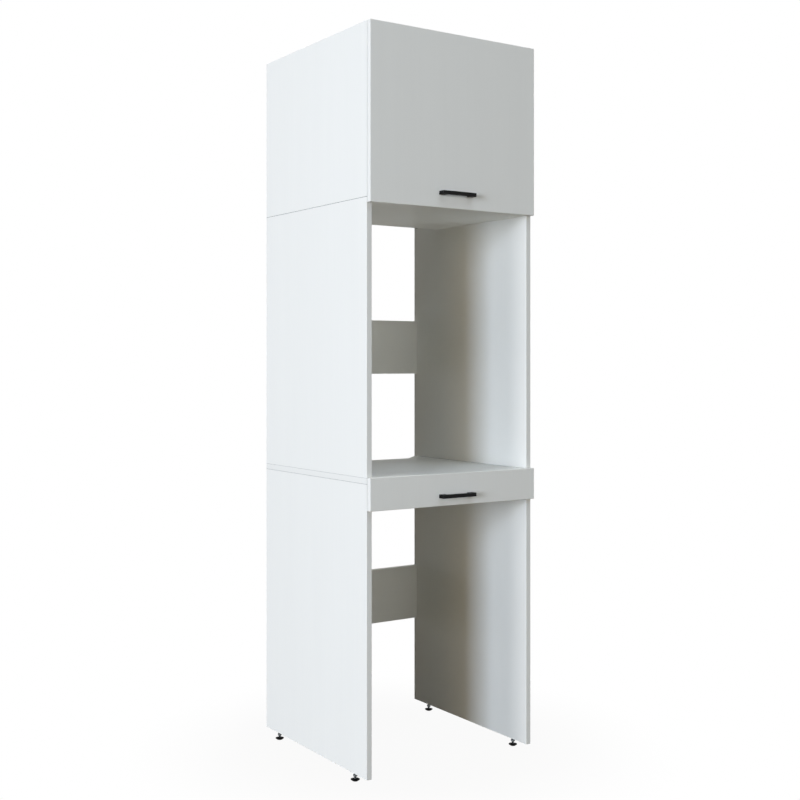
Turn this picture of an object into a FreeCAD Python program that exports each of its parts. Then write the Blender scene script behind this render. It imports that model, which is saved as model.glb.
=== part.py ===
import FreeCAD, Part
import os
import types

import Sketcher

# A tall tower for a washing machine below and a tumble dryer above it: white faced boards on
# levelling feet, a shelf with a shallow drawer between the two bays, and a top cabinet with a
# lift-up flap on gas struts. +Z is up, the front faces -Y and the origin is on the floor under
# the middle of the tower.

# Driving sizes in millimetres, each written once
SIZES = {
    # carcass boards
    "overall_width": 654,
    "side_depth": 670,
    "board": 18,
    "foot_height": 26,
    "lower_side_height": 915,
    "middle_side_height": 872,
    "top_side_height": 545,
    "cabinet_depth": 515,
    "rail_height": 200,
    "rail_rise": 316,
    "hose_cut_depth": 85,
    "hose_cut_splay": 85,
    "back_board": 3,
    "back_inset": 12,
    "groove_depth": 8,
    "groove_gap": 0.4,
    "board_edge_radius": 0.6,
    # fronts
    "front_board": 18,
    "front_gap": 1.6,
    "front_edge_radius": 1.5,
    "drawer_front_height": 103,
    "drawer_front_rise": 2,
    "bumper_diameter": 8,
    "bumper_gap": 0.1,
    # bow handles
    "handle_length": 133,
    "handle_projection": 24.5,
    "handle_height": 12,
    "handle_bar": 9,
    "handle_leg": 22,
    "handle_outer_radius": 4,
    "handle_inner_radius": 6,
    "handle_edge_radius": 1,
    "flap_handle_rise": 47,
    "drawer_handle_rise": 32,
    "handle_screw": 4,
    "handle_screw_bite": 12,
    "handle_screw_head": 8,
    "handle_screw_head_height": 2.5,
    # board fittings
    "dowel": 8,
    "dowel_bite": 12,
    "dowel_reach": 24,
    "cam": 15,
    "cam_height": 12.5,
    "cam_reach": 34,
    "cam_bolt": 6,
    "cam_bolt_bite": 11,
    "fixing_inset": 60,
    "fixing_pitch": 35,
    "rail_fixing_inset": 40,
    "shelf_screw": 5,
    "shelf_screw_reach": 40,
    "shelf_screw_head": 10,
    "shelf_screw_head_height": 4,
    "fit_gap": 0.1,
    "end_gap": 0.5,
    # levelling feet
    "foot_inset": 83,
    "foot_rim": 29,
    "foot_sole": 17,
    "foot_rim_low": 4.3,
    "foot_rim_high": 5.8,
    "foot_hub": 13,
    "foot_base_height": 8,
    "foot_rounding": 1,
    "stem": 8,
    "stem_bite": 5,
    "stem_reach": 18,
    "stem_gap": 0.2,
    "foot_nut": 13,
    "foot_nut_height": 6.5,
    "foot_nut_rise": 6.5,
    "insert_diameter": 11,
    "insert_length": 22,
    # flap hinges
    "hinge_inset": 95,
    "cup": 35,
    "cup_depth": 13,
    "cup_edge": 3,
    "cup_wall": 0.8,
    "cup_floor": 0.9,
    "flange": 1.2,
    "flange_width": 60,
    "flange_height": 12,
    "flange_drop": 6,
    "pivot_depth": 9.5,
    "pivot_drop": 6.3,
    "pin": 2,
    "pin_length": 17,
    "pin_gap": 0.2,
    "arm_eye": 4.2,
    "arm_width": 5,
    "arm_leg": 3,
    "arm_height": 5,
    "arm_reach": 55,
    "arm_channel": 14,
    "arm_channel_setback": 6,
    "plate_thickness": 3,
    "plate_length": 42,
    "plate_setback": 10,
    "plate_wing": 50,
    "plate_wing_length": 12,
    "plate_wing_thickness": 2,
    # gas struts
    "strut_pivot_back": 110,
    "strut_pivot_drop": 270,
    "flap_pivot_back": 22,
    "flap_pivot_drop": 66.3,
    "strut_inset": 10,
    "strut_tube": 15,
    "strut_tube_start": 5,
    "strut_nose": 10,
    "strut_nose_length": 8,
    "strut_rod": 6,
    "strut_rod_gap": 0.2,
    "strut_rod_bite": 110,
    "strut_socket": 13,
    "strut_socket_width": 12,
    "strut_stud": 6,
    "strut_stud_gap": 0.2,
    "strut_stud_bite": 8,
    "bracket_plate": 2,
    "bracket_length": 42,
    "bracket_width": 16,
    "lug_gap": 0.4,
    "lug_foot": 26,
    "rivet_head": 9,
    "rivet_head_height": 1.5,
    # drawer and its telescopic runners
    "drawer_board": 12,
    "drawer_side_height": 62,
    "drawer_rise": 8,
    "drawer_length": 500,
    "drawer_bottom_board": 3,
    "drawer_bottom_rise": 8,
    "drawer_bottom_bite": 6,
    "runner_space": 13,
    "runner_height": 45,
    "runner_length": 500,
    "runner_metal": 1.2,
    "runner_gap": 0.3,
    "runner_setback": 3,
}

SIDES = {"left": -1, "right": 1}
# Which way the inner face of each side board looks
INWARD = {"left": "right", "right": "left"}

# For each way a face can look: the origin plane it is parallel to, the sign that turns its level
# into a lift along that plane's normal, and whether outward is against that normal
FACES = {
    "top": ("XY_Plane", 1, False),
    "bottom": ("XY_Plane", 1, True),
    "right": ("YZ_Plane", 1, False),
    "left": ("YZ_Plane", 1, True),
    "front": ("XZ_Plane", -1, False),
    "back": ("XZ_Plane", -1, True),
}

FULL_TURN = 360.0
SMALLEST_CUT = 0.001


class Size:
    """A length, kept both as a number and as the sheet expression that gives it."""

    def __init__(self, number, text):
        self.number = float(number)
        self.text = text

    def __add__(self, other):
        other = as_size(other)
        return Size(self.number + other.number, f"({self.text} + {other.text})")

    def __sub__(self, other):
        other = as_size(other)
        return Size(self.number - other.number, f"({self.text} - {other.text})")

    def __mul__(self, factor):
        factor = as_size(factor)
        return Size(self.number * factor.number, f"({self.text} * {factor.text})")

    def __truediv__(self, factor):
        factor = as_size(factor)
        return Size(self.number / factor.number, f"({self.text} / {factor.text})")

    def __neg__(self):
        return self * -1

    __radd__ = __add__
    __rmul__ = __mul__


def as_size(value):
    """Returns a size as it is, and a bare count or factor as a size."""
    return value if isinstance(value, Size) else Size(value, repr(float(value)))


def write_sheet(document):
    """Writes the driving sizes to the document's sheet and returns them by name."""
    sheet = document.addObject("Spreadsheet::Sheet", "Sizes")
    for row, (alias, number) in enumerate(SIZES.items(), start=1):
        sheet.set(f"A{row}", alias)
        sheet.set(f"B{row}", str(number))
        sheet.setAlias(f"B{row}", alias)
    document.recompute()
    return types.SimpleNamespace(
        **{alias: Size(number, f"Sizes.{alias}") for alias, number in SIZES.items()}
    )


def work_out_places():
    """Works out the levels and planes that several pieces share, from the driving sizes."""
    p = types.SimpleNamespace()
    # across the tower
    p.outer = d.overall_width / 2
    p.inner = p.outer - d.board
    p.middle = p.outer - d.board / 2
    # front to back
    depth = d.side_depth + d.front_gap + d.front_board + d.handle_projection
    p.back = depth / 2
    p.front = p.back - d.side_depth
    p.flap_back = p.front - d.front_gap
    p.flap_face = p.flap_back - d.front_board
    p.cabinet_back = p.front + d.cabinet_depth
    p.panel_back = p.cabinet_back - d.back_inset
    p.panel_front = p.panel_back - d.back_board - d.groove_gap
    p.rail_front = p.back - d.board
    p.rail_middle = p.back - d.board / 2
    # up the tower
    p.lower = d.foot_height
    p.shelf = p.lower + d.lower_side_height
    p.shelf_top = p.shelf + d.board
    p.join = p.shelf_top + d.middle_side_height
    p.floor = p.join - d.board
    p.floor_middle = p.join - d.board / 2
    p.top = p.join + d.top_side_height
    p.top_panel = p.top - d.board
    p.top_middle = p.top - d.board / 2
    p.drawer_top = p.shelf_top + d.drawer_front_rise
    p.drawer_front = p.drawer_top - d.drawer_front_height
    p.drawer = p.drawer_front + d.drawer_rise
    p.drawer_box_top = p.drawer + d.drawer_side_height
    p.runner = p.drawer + d.drawer_side_height / 2
    # drawer box
    p.drawer_outer = p.inner - d.runner_space
    p.drawer_inner = p.drawer_outer - d.drawer_board
    p.drawer_back = p.flap_back + d.drawer_length
    p.drawer_bottom = p.drawer + d.drawer_bottom_rise
    # flap hinge
    p.hinge = p.outer - d.hinge_inset
    p.cup_centre = p.top - d.cup_edge - d.cup / 2
    p.pivot_y = p.flap_back - d.pivot_depth
    p.pivot_z = p.top - d.pivot_drop
    # gas struts
    p.strut = p.inner - d.strut_inset
    p.strut_y = p.flap_back + d.strut_pivot_back
    p.strut_z = p.top - d.strut_pivot_drop
    p.stud_y = p.flap_back + d.flap_pivot_back
    p.stud_z = p.top - d.flap_pivot_drop
    p.strut_run = p.strut_y - p.stud_y
    p.strut_climb = p.stud_z - p.strut_z
    length = (p.strut_run.number**2 + p.strut_climb.number**2) ** 0.5
    squares = p.strut_run * p.strut_run + p.strut_climb * p.strut_climb
    p.strut_length = Size(length, f"sqrt{squares.text}")
    p.rod_start = p.strut_length - d.strut_rod_bite
    p.tube_end = p.strut_length - d.strut_socket
    return p


def fixing_rows(step, first=None, last=None):
    """Gives the front and the back fixing of a row, counted in pitches in from the board's edges."""
    offset = d.fixing_inset + d.fixing_pitch * step
    first = p.front if first is None else first
    last = p.back if last is None else last
    return [first + offset, last - offset]


def rail_heights(bottom):
    """Gives the two heights at which a back rail is bolted."""
    return [bottom + d.rail_fixing_inset, bottom + d.rail_height - d.rail_fixing_inset]


def new_body(label):
    """Starts a sub-part."""
    body = document.addObject("PartDesign::Body", label)
    body.Label = label
    SUB_PARTS.append(body)
    return body


def new_sketch(body, name, face, level):
    """Attaches a sketch parallel to a face, at that face's level."""
    role, sign, _ = FACES[face]
    plane = next(item for item in body.Origin.OriginFeatures if item.Role == role)
    sketch = body.newObject("Sketcher::SketchObject", name)
    sketch.AttachmentSupport = [(plane, "")]
    sketch.MapMode = "FlatFace"
    sketch.setExpression("AttachmentOffset.Base.z", (as_size(level) * sign).text)
    return sketch


def bind_constraint(sketch, value, *constraint):
    """Adds a dimension to a sketch and binds it to the sheet."""
    value = as_size(value)
    index = sketch.addConstraint(Sketcher.Constraint(*constraint, value.number))
    sketch.setExpression(f"Constraints[{index}]", value.text)


def bind_point(sketch, geometry, point, place):
    """Dimensions a point of a sketch from the sketch's origin."""
    for kind, value in zip(("DistanceX", "DistanceY"), place):
        bind_constraint(sketch, value, kind, -1, 1, geometry, point)


def draw_outline(sketch, places):
    """Draws a closed outline of straight lines with every corner dimensioned."""
    corners = [FreeCAD.Vector(as_size(u).number, as_size(v).number, 0) for u, v in places]
    followers = corners[1:] + corners[:1]
    sketch.addGeometry([Part.LineSegment(a, b) for a, b in zip(corners, followers)], False)
    for line, place in enumerate(places):
        sketch.addConstraint(Sketcher.Constraint("Coincident", line, 2, (line + 1) % len(places), 1))
        bind_point(sketch, line, 1, place)


def draw_circles(sketch, centres, diameter):
    """Draws equal circles with dimensioned centres."""
    diameter = as_size(diameter)
    for u, v in centres:
        centre = FreeCAD.Vector(as_size(u).number, as_size(v).number, 0)
        circle = Part.Circle(centre, FreeCAD.Vector(0, 0, 1), diameter.number / 2)
        index = sketch.addGeometry(circle, False)
        bind_point(sketch, index, 3, (u, v))
        bind_constraint(sketch, diameter, "Diameter", index)


def add_feature(body, kind, name, face, level, length):
    """Adds a pad that grows out of a face, or a pocket that goes in from it; returns its sketch."""
    sketch = new_sketch(body, f"{name}Sketch", face, level)
    feature = body.newObject(f"PartDesign::{kind}", name)
    feature.Profile = sketch
    feature.Reversed = FACES[face][2]
    feature.setExpression("Length", as_size(length).text)
    return sketch


def pad_outline(body, name, face, level, places, length):
    """Grows an outline out from a level, the way the face looks."""
    draw_outline(add_feature(body, "Pad", name, face, level, length), places)


def pad_circles(body, name, face, level, centres, diameter, length):
    """Grows round bars out from a level, the way the face looks."""
    draw_circles(add_feature(body, "Pad", name, face, level, length), centres, diameter)


def cut_outline(body, name, face, level, places, depth):
    """Cuts an outline into a face."""
    draw_outline(add_feature(body, "Pocket", name, face, level, depth), places)


def drill(body, name, face, level, centres, diameter, depth):
    """Drills round holes into a face."""
    draw_circles(add_feature(body, "Pocket", name, face, level, depth), centres, diameter)


def rectangle(low, high):
    """Gives the corners of a rectangle."""
    (u0, v0), (u1, v1) = low, high
    return [(u0, v0), (u1, v0), (u1, v1), (u0, v1)]


def hexagon(across_flats):
    """Gives the corners of a hexagon about the origin."""
    corner = across_flats / 3**0.5
    half = across_flats / 2
    upper = [(corner, 0), (corner / 2, half), (-corner / 2, half)]
    return upper + [(-u, -as_size(v)) for u, v in upper]


def new_board(label, low, high, radius=None):
    """Makes a rectangular board between two corners, with its edges rounded where a radius is given."""
    body = new_body(label)
    pad_outline(body, "Board", "top", low[2], rectangle(low[:2], high[:2]), high[2] - low[2])
    if radius:
        round_edges(body, "EdgeRounding", radius)
    return body


def revolve(body, name, places):
    """Turns a profile of radius and height about the body's own Z axis."""
    sketch = new_sketch(body, f"{name}Sketch", "front", 0)
    draw_outline(sketch, places)
    feature = body.newObject("PartDesign::Revolution", name)
    feature.Profile = sketch
    feature.ReferenceAxis = (sketch, ["V_Axis"])
    feature.Angle = FULL_TURN
    return feature


def round_edges(body, name, radius, wanted=None):
    """Rounds the edges of the body's last feature that the test picks, or all of them."""
    document.recompute()
    base = body.Tip
    edges = base.Shape.Edges
    names = [f"Edge{i}" for i, edge in enumerate(edges, start=1) if wanted is None or wanted(edge)]
    fillet = body.newObject("PartDesign::Fillet", name)
    fillet.Base = (base, names)
    fillet.setExpression("Radius", radius.text)


def place(body, x, y, z):
    """Puts a body's own origin at a place."""
    for axis, value in zip("xyz", (x, y, z)):
        body.setExpression(f"Placement.Base.{axis}", as_size(value).text)


def drill_side_bolts(body, name, side, places):
    """Drills a side board's inner face for the bolts that draw a cross board up to it."""
    drill(body, f"{name}BoltHoles", INWARD[side], p.inner * SIDES[side], places,
          d.cam_bolt + d.fit_gap, d.cam_bolt_bite + d.end_gap)


def drill_side_dowels(body, name, side, places):
    """Drills a side board's inner face for the dowels of a cross board."""
    drill(body, f"{name}DowelHoles", INWARD[side], p.inner * SIDES[side], places,
          d.dowel + d.fit_gap, d.dowel_bite + d.end_gap)


def drill_edge_dowels(body, name, face, level, rows, side):
    """Drills a side board's top or bottom edge for dowels."""
    centres = [(p.middle * SIDES[side], y) for y in rows]
    drill(body, name, face, level, centres, d.dowel + d.fit_gap, d.dowel_reach + d.end_gap)


def new_side(label, side, bottom, top):
    """Makes a side board between two levels."""
    sign = SIDES[side]
    return new_board(label, (p.inner * sign, p.front, bottom), (p.outer * sign, p.back, top),
                     d.board_edge_radius)


def build_lower_side(side):
    """Makes a lower side: feet under it, the shelf on it and the lower rail against it."""
    body = new_side(f"lower_side_{side}", side, p.lower, p.shelf)
    across = p.middle * SIDES[side]
    feet = [(across, p.front + d.foot_inset), (across, p.back - d.foot_inset)]
    drill(body, "InsertHoles", "bottom", p.lower, feet, d.insert_diameter + d.fit_gap,
          d.insert_length + d.end_gap)
    drill_edge_dowels(body, "ShelfDowelHoles", "top", p.shelf, fixing_rows(2), side)
    drill(body, "ShelfBoltHoles", "top", p.shelf, [(across, y) for y in fixing_rows(0)],
          d.cam_bolt + d.fit_gap, d.cam_reach)
    drill(body, "ShelfCamHoles", INWARD[side], p.inner * SIDES[side],
          [(y, p.shelf - d.cam_reach) for y in fixing_rows(0)], d.cam + d.fit_gap,
          d.cam_height + d.end_gap)
    drill_side_bolts(body, "Rail", side, rail_bolts(p.lower))
    drill_side_dowels(body, "Rail", side, rail_dowels(p.lower))


def build_middle_side(side):
    """Makes a middle side: it stands on the shelf and carries the cabinet floor and a rail."""
    body = new_side(f"middle_side_{side}", side, p.shelf_top, p.join)
    drill_edge_dowels(body, "ShelfDowelHoles", "bottom", p.shelf_top, fixing_rows(1), side)
    drill_edge_dowels(body, "TopDowelHoles", "top", p.join, fixing_rows(5), side)
    screws = [(p.middle * SIDES[side], y) for y in fixing_rows(4)]
    drill(body, "ScrewHoles", "bottom", p.shelf_top, screws, d.shelf_screw + d.fit_gap,
          d.shelf_screw_reach + d.end_gap)
    drill_side_bolts(body, "Rail", side, rail_bolts(p.shelf_top))
    drill_side_dowels(body, "Rail", side, rail_dowels(p.shelf_top))
    drill_side_bolts(body, "Floor", side, floor_bolts())
    drill_side_dowels(body, "Floor", side, floor_dowels())


def build_top_side(side):
    """Makes a top side: dowelled to the middle side, with a groove for the back board."""
    body = new_side(f"top_side_{side}", side, p.join, p.top)
    sign = SIDES[side]
    drill_edge_dowels(body, "TopDowelHoles", "bottom", p.join, fixing_rows(5), side)
    drill_side_bolts(body, "Roof", side, roof_bolts())
    drill_side_dowels(body, "Roof", side, roof_dowels())
    groove_end = (p.inner + d.groove_depth) * sign
    groove = rectangle((p.inner * sign, p.panel_front), (groove_end, p.panel_back))
    cut_outline(body, "BackGroove", "top", p.top, groove, d.top_side_height)


def rail_bolts(stand):
    """Gives the bolt axes of the rail whose sides stand at a level, as front-to-back and height."""
    return [(p.rail_middle, z) for z in rail_heights(stand + d.rail_rise)]


def rail_dowels(stand):
    """Gives the dowel axis of the rail whose sides stand at a level."""
    return [(p.rail_middle, stand + d.rail_rise + d.rail_height / 2)]


def floor_rows(step):
    """Gives the fixing rows of the top cabinet's floor."""
    return fixing_rows(step, last=p.cabinet_back)


def roof_rows(step):
    """Gives the fixing rows of the top cabinet's top, which stops in front of the back board."""
    return fixing_rows(step, last=p.panel_front)


def floor_bolts():
    """Gives the bolt axes of the top cabinet's floor."""
    return [(y, p.floor_middle) for y in floor_rows(0)]


def floor_dowels():
    """Gives the dowel axes of the top cabinet's floor."""
    return [(y, p.floor_middle) for y in floor_rows(2)]


def roof_bolts():
    """Gives the bolt axes of the top cabinet's top."""
    return [(y, p.top_middle) for y in roof_rows(0)]


def roof_dowels():
    """Gives the dowel axes of the top cabinet's top."""
    return [(y, p.top_middle) for y in roof_rows(2)]


def drill_board_ends(body, bolts, dowels):
    """Drills both ends of a cross board for its cam bolts and dowels."""
    for side, sign in SIDES.items():
        end = p.inner * sign
        drill(body, f"{side.title()}Bolts", side, end, bolts, d.cam_bolt + d.fit_gap, d.cam_reach)
        drill(body, f"{side.title()}Dowels", side, end, dowels, d.dowel + d.fit_gap,
              d.dowel_reach + d.end_gap)


def cam_centres(along):
    """Gives the cam centres at both ends of a cross board, for each place along its ends."""
    return [((p.inner - d.cam_reach) * sign, place) for sign in SIDES.values() for place in along]


def drill_cams(body, face, level, along):
    """Drills a cross board's face for the cams at both its ends."""
    drill(body, "CamHoles", face, level, cam_centres(along), d.cam + d.fit_gap,
          d.cam_height + d.end_gap)


def build_rail(label, stand):
    """Makes a back rail, which squares up a pair of sides; its cams are in its rear face."""
    bottom = stand + d.rail_rise
    body = new_board(label, (-p.inner, p.rail_front, bottom), (p.inner, p.back, bottom + d.rail_height),
                     d.board_edge_radius)
    drill_board_ends(body, rail_bolts(stand), rail_dowels(stand))
    drill_cams(body, "back", p.back, rail_heights(bottom))


def build_shelf():
    """Makes the full-width shelf, with a splayed cut at its back for hoses and leads."""
    body = new_body("shelf")
    narrow = p.inner - d.hose_cut_splay
    recess = p.back - d.hose_cut_depth
    outline = [(-p.outer, p.front), (p.outer, p.front), (p.outer, p.back), (p.inner, p.back)]
    outline += [(narrow, recess), (-narrow, recess), (-p.inner, p.back), (-p.outer, p.back)]
    pad_outline(body, "Board", "top", p.shelf, outline, d.board)
    round_edges(body, "EdgeRounding", d.board_edge_radius)

    def across(step):
        return [(p.middle * sign, y) for sign in SIDES.values() for y in fixing_rows(step)]

    drill(body, "BoltHoles", "bottom", p.shelf, across(0), d.cam_bolt + d.fit_gap,
          d.cam_bolt_bite + d.end_gap)
    drill(body, "LowerDowelHoles", "bottom", p.shelf, across(2), d.dowel + d.fit_gap,
          d.dowel_bite + d.end_gap)
    drill(body, "UpperDowelHoles", "top", p.shelf_top, across(1), d.dowel + d.fit_gap,
          d.dowel_bite + d.end_gap)
    drill(body, "ScrewHoles", "bottom", p.shelf, across(4), d.shelf_screw + d.fit_gap, d.board)
    drill(body, "ScrewHeadHoles", "bottom", p.shelf, across(4), d.shelf_screw_head + d.fit_gap,
          d.shelf_screw_head_height + d.fit_gap)


def build_cabinet_boards():
    """Makes the top cabinet's floor, its top and its thin back board, which slides down grooves."""
    floor = new_board("cabinet_floor", (-p.inner, p.front, p.floor), (p.inner, p.cabinet_back, p.join),
                      d.board_edge_radius)
    drill_board_ends(floor, floor_bolts(), floor_dowels())
    drill_cams(floor, "top", p.join, floor_rows(0))
    roof = new_board("cabinet_top", (-p.inner, p.front, p.top_panel), (p.inner, p.panel_front, p.top),
                     d.board_edge_radius)
    drill_board_ends(roof, roof_bolts(), roof_dowels())
    drill_cams(roof, "top", p.top, roof_rows(0))
    reach = p.inner + d.groove_depth - d.end_gap
    start = p.panel_back - d.groove_gap / 2 - d.back_board
    new_board("cabinet_back", (-reach, start, p.join), (reach, start + d.back_board, p.top))


def cross_bolts():
    """Gives every cam bolt axis that runs across the tower."""
    return rail_bolts(p.lower) + rail_bolts(p.shelf_top) + floor_bolts() + roof_bolts()


def cross_dowels():
    """Gives every dowel axis that runs across the tower."""
    return rail_dowels(p.lower) + rail_dowels(p.shelf_top) + floor_dowels() + roof_dowels()


def upright_axes(step):
    """Gives the upright axes over both sides at a fixing row."""
    return [(p.middle * sign, y) for sign in SIDES.values() for y in fixing_rows(step)]


def build_cam_locks():
    """Makes the cam locks, each a drum with a bore for its bolt."""
    body = new_body("cam_locks")
    for name, stand in (("Lower", p.lower), ("Middle", p.shelf_top)):
        heights = rail_heights(stand + d.rail_rise)
        pad_circles(body, f"{name}RailCams", "front", p.back, cam_centres(heights), d.cam, d.cam_height)
    pad_circles(body, "FloorCams", "bottom", p.join, cam_centres(floor_rows(0)), d.cam, d.cam_height)
    pad_circles(body, "RoofCams", "bottom", p.top, cam_centres(roof_rows(0)), d.cam, d.cam_height)
    shelf_cams = [(y, p.shelf - d.cam_reach) for y in fixing_rows(0)]
    for side, sign in SIDES.items():
        pad_circles(body, f"Shelf{side.title()}Cams", side, p.inner * sign, shelf_cams, d.cam,
                    d.cam_height)
    for side, sign in SIDES.items():
        drill(body, f"{side.title()}Bores", side, p.inner * sign, cross_bolts(),
              d.cam_bolt + d.fit_gap, d.cam_reach)
    drill(body, "ShelfBores", "top", p.shelf, upright_axes(0), d.cam_bolt + d.fit_gap, d.cam_reach)


def build_cam_bolts():
    """Makes the bolts that the cam locks draw tight."""
    body = new_body("cam_bolts")
    length = d.cam_bolt_bite + d.cam_reach - d.end_gap
    for side, sign in SIDES.items():
        pad_circles(body, f"{side.title()}Bolts", INWARD[side], (p.inner + d.cam_bolt_bite) * sign,
                    cross_bolts(), d.cam_bolt, length)
    pad_circles(body, "ShelfBolts", "bottom", p.shelf + d.cam_bolt_bite, upright_axes(0), d.cam_bolt,
                length)


def build_dowels():
    """Makes the wooden dowels that line the boards up."""
    body = new_body("dowels")
    length = d.dowel_bite + d.dowel_reach
    for side, sign in SIDES.items():
        pad_circles(body, f"{side.title()}Dowels", INWARD[side], (p.inner + d.dowel_bite) * sign,
                    cross_dowels(), d.dowel, length)
    pad_circles(body, "LowerDowels", "bottom", p.shelf + d.dowel_bite, upright_axes(2), d.dowel, length)
    pad_circles(body, "UpperDowels", "top", p.shelf_top - d.dowel_bite, upright_axes(1), d.dowel,
                length)
    pad_circles(body, "TopDowels", "top", p.join - d.dowel_reach, upright_axes(5), d.dowel,
                d.dowel_reach * 2)


def build_shelf_screws():
    """Makes the screws that go up through the shelf into the middle sides, heads sunk below it."""
    body = new_body("shelf_screws")
    pad_circles(body, "Heads", "top", p.shelf, upright_axes(4), d.shelf_screw_head,
                d.shelf_screw_head_height)
    pad_circles(body, "Shanks", "top", p.shelf, upright_axes(4), d.shelf_screw,
                d.board + d.shelf_screw_reach)


def foot_places():
    """Gives each levelling foot's name and place."""
    return {
        f"{end}_{side}": (p.middle * sign, y)
        for side, sign in SIDES.items()
        for end, y in (("front", p.front + d.foot_inset), ("back", p.back - d.foot_inset))
    }


def build_feet():
    """Makes the threaded inserts in the lower sides and the four levelling feet with their nuts."""
    inserts = new_body("foot_inserts")
    centres = list(foot_places().values())
    pad_circles(inserts, "Sleeves", "top", p.lower, centres, d.insert_diameter, d.insert_length)
    drill(inserts, "Bores", "bottom", p.lower, centres, d.stem + d.stem_gap, d.insert_length)
    seat = d.foot_base_height - d.stem_bite
    profile = [(0, 0), (d.foot_sole / 2, 0), (d.foot_rim / 2, d.foot_rim_low)]
    profile += [(d.foot_rim / 2, d.foot_rim_high), (d.foot_hub / 2, d.foot_base_height)]
    profile += [(d.stem / 2, d.foot_base_height), (d.stem / 2, seat), (0, seat)]
    for name, (x, y) in foot_places().items():
        base = new_body(f"foot_base_{name}")
        revolve(base, "Base", profile)
        round_edges(base, "Rounding", d.foot_rounding, is_sole_edge)
        place(base, x, y, 0)
        stem = new_body(f"foot_stem_{name}")
        length = d.stem_bite + d.foot_height - d.foot_base_height + d.stem_reach
        pad_circles(stem, "Stem", "top", seat, [(0, 0)], d.stem, length)
        nut = d.foot_base_height + d.foot_nut_rise
        pad_outline(stem, "Nut", "top", nut, hexagon(d.foot_nut), d.foot_nut_height)
        place(stem, x, y, 0)


def is_sole_edge(edge):
    """Picks the round edge at the foot's sole."""
    return isinstance(edge.Curve, Part.Circle) and abs(edge.BoundBox.ZMax) < SMALLEST_CUT


def build_bumpers():
    """Makes the clear pads that the flap's and the drawer front's lower corners close against."""
    body = new_body("bumper_pads")
    thickness = d.front_gap - d.bumper_gap
    flap_pads = [(p.middle * sign, p.join + d.board) for sign in SIDES.values()]
    drawer_pads = [(p.middle * sign, p.drawer_front + d.board) for sign in SIDES.values()]
    pad_circles(body, "Pads", "front", p.front, flap_pads + drawer_pads, d.bumper_diameter, thickness)


def handle_screw_axes(height):
    """Gives a handle's two screw axes at a height."""
    pitch = d.handle_length - d.handle_leg
    return [(pitch / 2 * sign, height) for sign in SIDES.values()]


def is_outer_corner(edge):
    """Picks the upright edges at a handle's front corners."""
    reach = p.flap_face.number - d.handle_projection.number
    return is_upright(edge) and abs(edge.BoundBox.YMin - reach) < SMALLEST_CUT


def is_inner_corner(edge):
    """Picks the upright edges where a handle's bar meets its legs."""
    inside = p.flap_face.number - d.handle_projection.number + d.handle_bar.number
    return is_upright(edge) and abs(edge.BoundBox.YMin - inside) < SMALLEST_CUT


def is_upright(edge):
    """Picks straight edges that run up."""
    return isinstance(edge.Curve, Part.Line) and edge.BoundBox.ZLength > edge.Length - SMALLEST_CUT


def is_off_the_board(edge):
    """Picks the edges of a handle that run round its top and bottom, clear of the board."""
    return not is_upright(edge) and edge.BoundBox.YMin < p.flap_face.number - SMALLEST_CUT


def build_handle(name, height, boards):
    """Makes a bow handle and its two screws, whose heads bear on the back of the boards."""
    body = new_body(f"{name}_handle")
    face = p.flap_face
    reach = face - d.handle_projection
    inside = reach + d.handle_bar
    half = d.handle_length / 2
    gap = half - d.handle_leg
    outline = [(-half, face), (-half, reach), (half, reach), (half, face)]
    outline += [(gap, face), (gap, inside), (-gap, inside), (-gap, face)]
    pad_outline(body, "Bow", "top", height - d.handle_height / 2, outline, d.handle_height)
    round_edges(body, "OuterCorners", d.handle_outer_radius, is_outer_corner)
    round_edges(body, "InnerCorners", d.handle_inner_radius, is_inner_corner)
    round_edges(body, "SoftEdges", d.handle_edge_radius, is_off_the_board)
    axes = handle_screw_axes(height)
    drill(body, "ScrewHoles", "back", face, axes, d.handle_screw + d.fit_gap,
          d.handle_screw_bite + d.end_gap)
    screws = new_body(f"{name}_handle_screws")
    rear = face + boards
    pad_circles(screws, "Shanks", "front", rear, axes, d.handle_screw, boards + d.handle_screw_bite)
    pad_circles(screws, "Heads", "back", rear, axes, d.handle_screw_head, d.handle_screw_head_height)


def build_flap():
    """Makes the lift-up flap, bored for the hinge cups and the handle's screws."""
    body = new_board("flap_door", (-p.outer, p.flap_face, p.floor), (p.outer, p.flap_back, p.top),
                     d.front_edge_radius)
    height = p.floor + d.flap_handle_rise
    cups = [(p.hinge * sign, p.cup_centre) for sign in SIDES.values()]
    drill(body, "CupHoles", "back", p.flap_back, cups, d.cup + d.fit_gap, d.cup_depth + d.fit_gap)
    drill(body, "ScrewHoles", "back", p.flap_back, handle_screw_axes(height),
          d.handle_screw + d.fit_gap, d.front_board)
    build_handle("flap", height, d.front_board)


def build_hinge(side):
    """Makes one flap hinge: cup and pin in the flap, arm and plate under the cabinet top."""
    x = p.hinge * SIDES[side]
    cup = new_body(f"hinge_cup_{side}")
    centre = [(x, p.cup_centre)]
    pad_circles(cup, "Bowl", "front", p.flap_back, centre, d.cup, d.cup_depth)
    ears = p.cup_centre - d.flange_drop
    ear_outline = rectangle((x - d.flange_width / 2, ears - d.flange_height / 2),
                            (x + d.flange_width / 2, ears + d.flange_height / 2))
    pad_outline(cup, "Ears", "back", p.flap_back, ear_outline, d.flange)
    drill(cup, "Hollow", "back", p.flap_back + d.flange, centre, d.cup - d.cup_wall * 2,
          d.flange + d.cup_depth - d.cup_floor)
    pivot = [(p.pivot_y, p.pivot_z)]
    drill(cup, "PinHoles", "right", x + d.cup / 2, pivot, d.pin + d.fit_gap, d.cup)
    pin = new_body(f"hinge_pin_{side}")
    pad_circles(pin, "Pin", "right", x - d.pin_length / 2, pivot, d.pin, d.pin_length)
    build_hinge_arm(side, x, pivot)
    build_hinge_plate(side, x)


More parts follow.
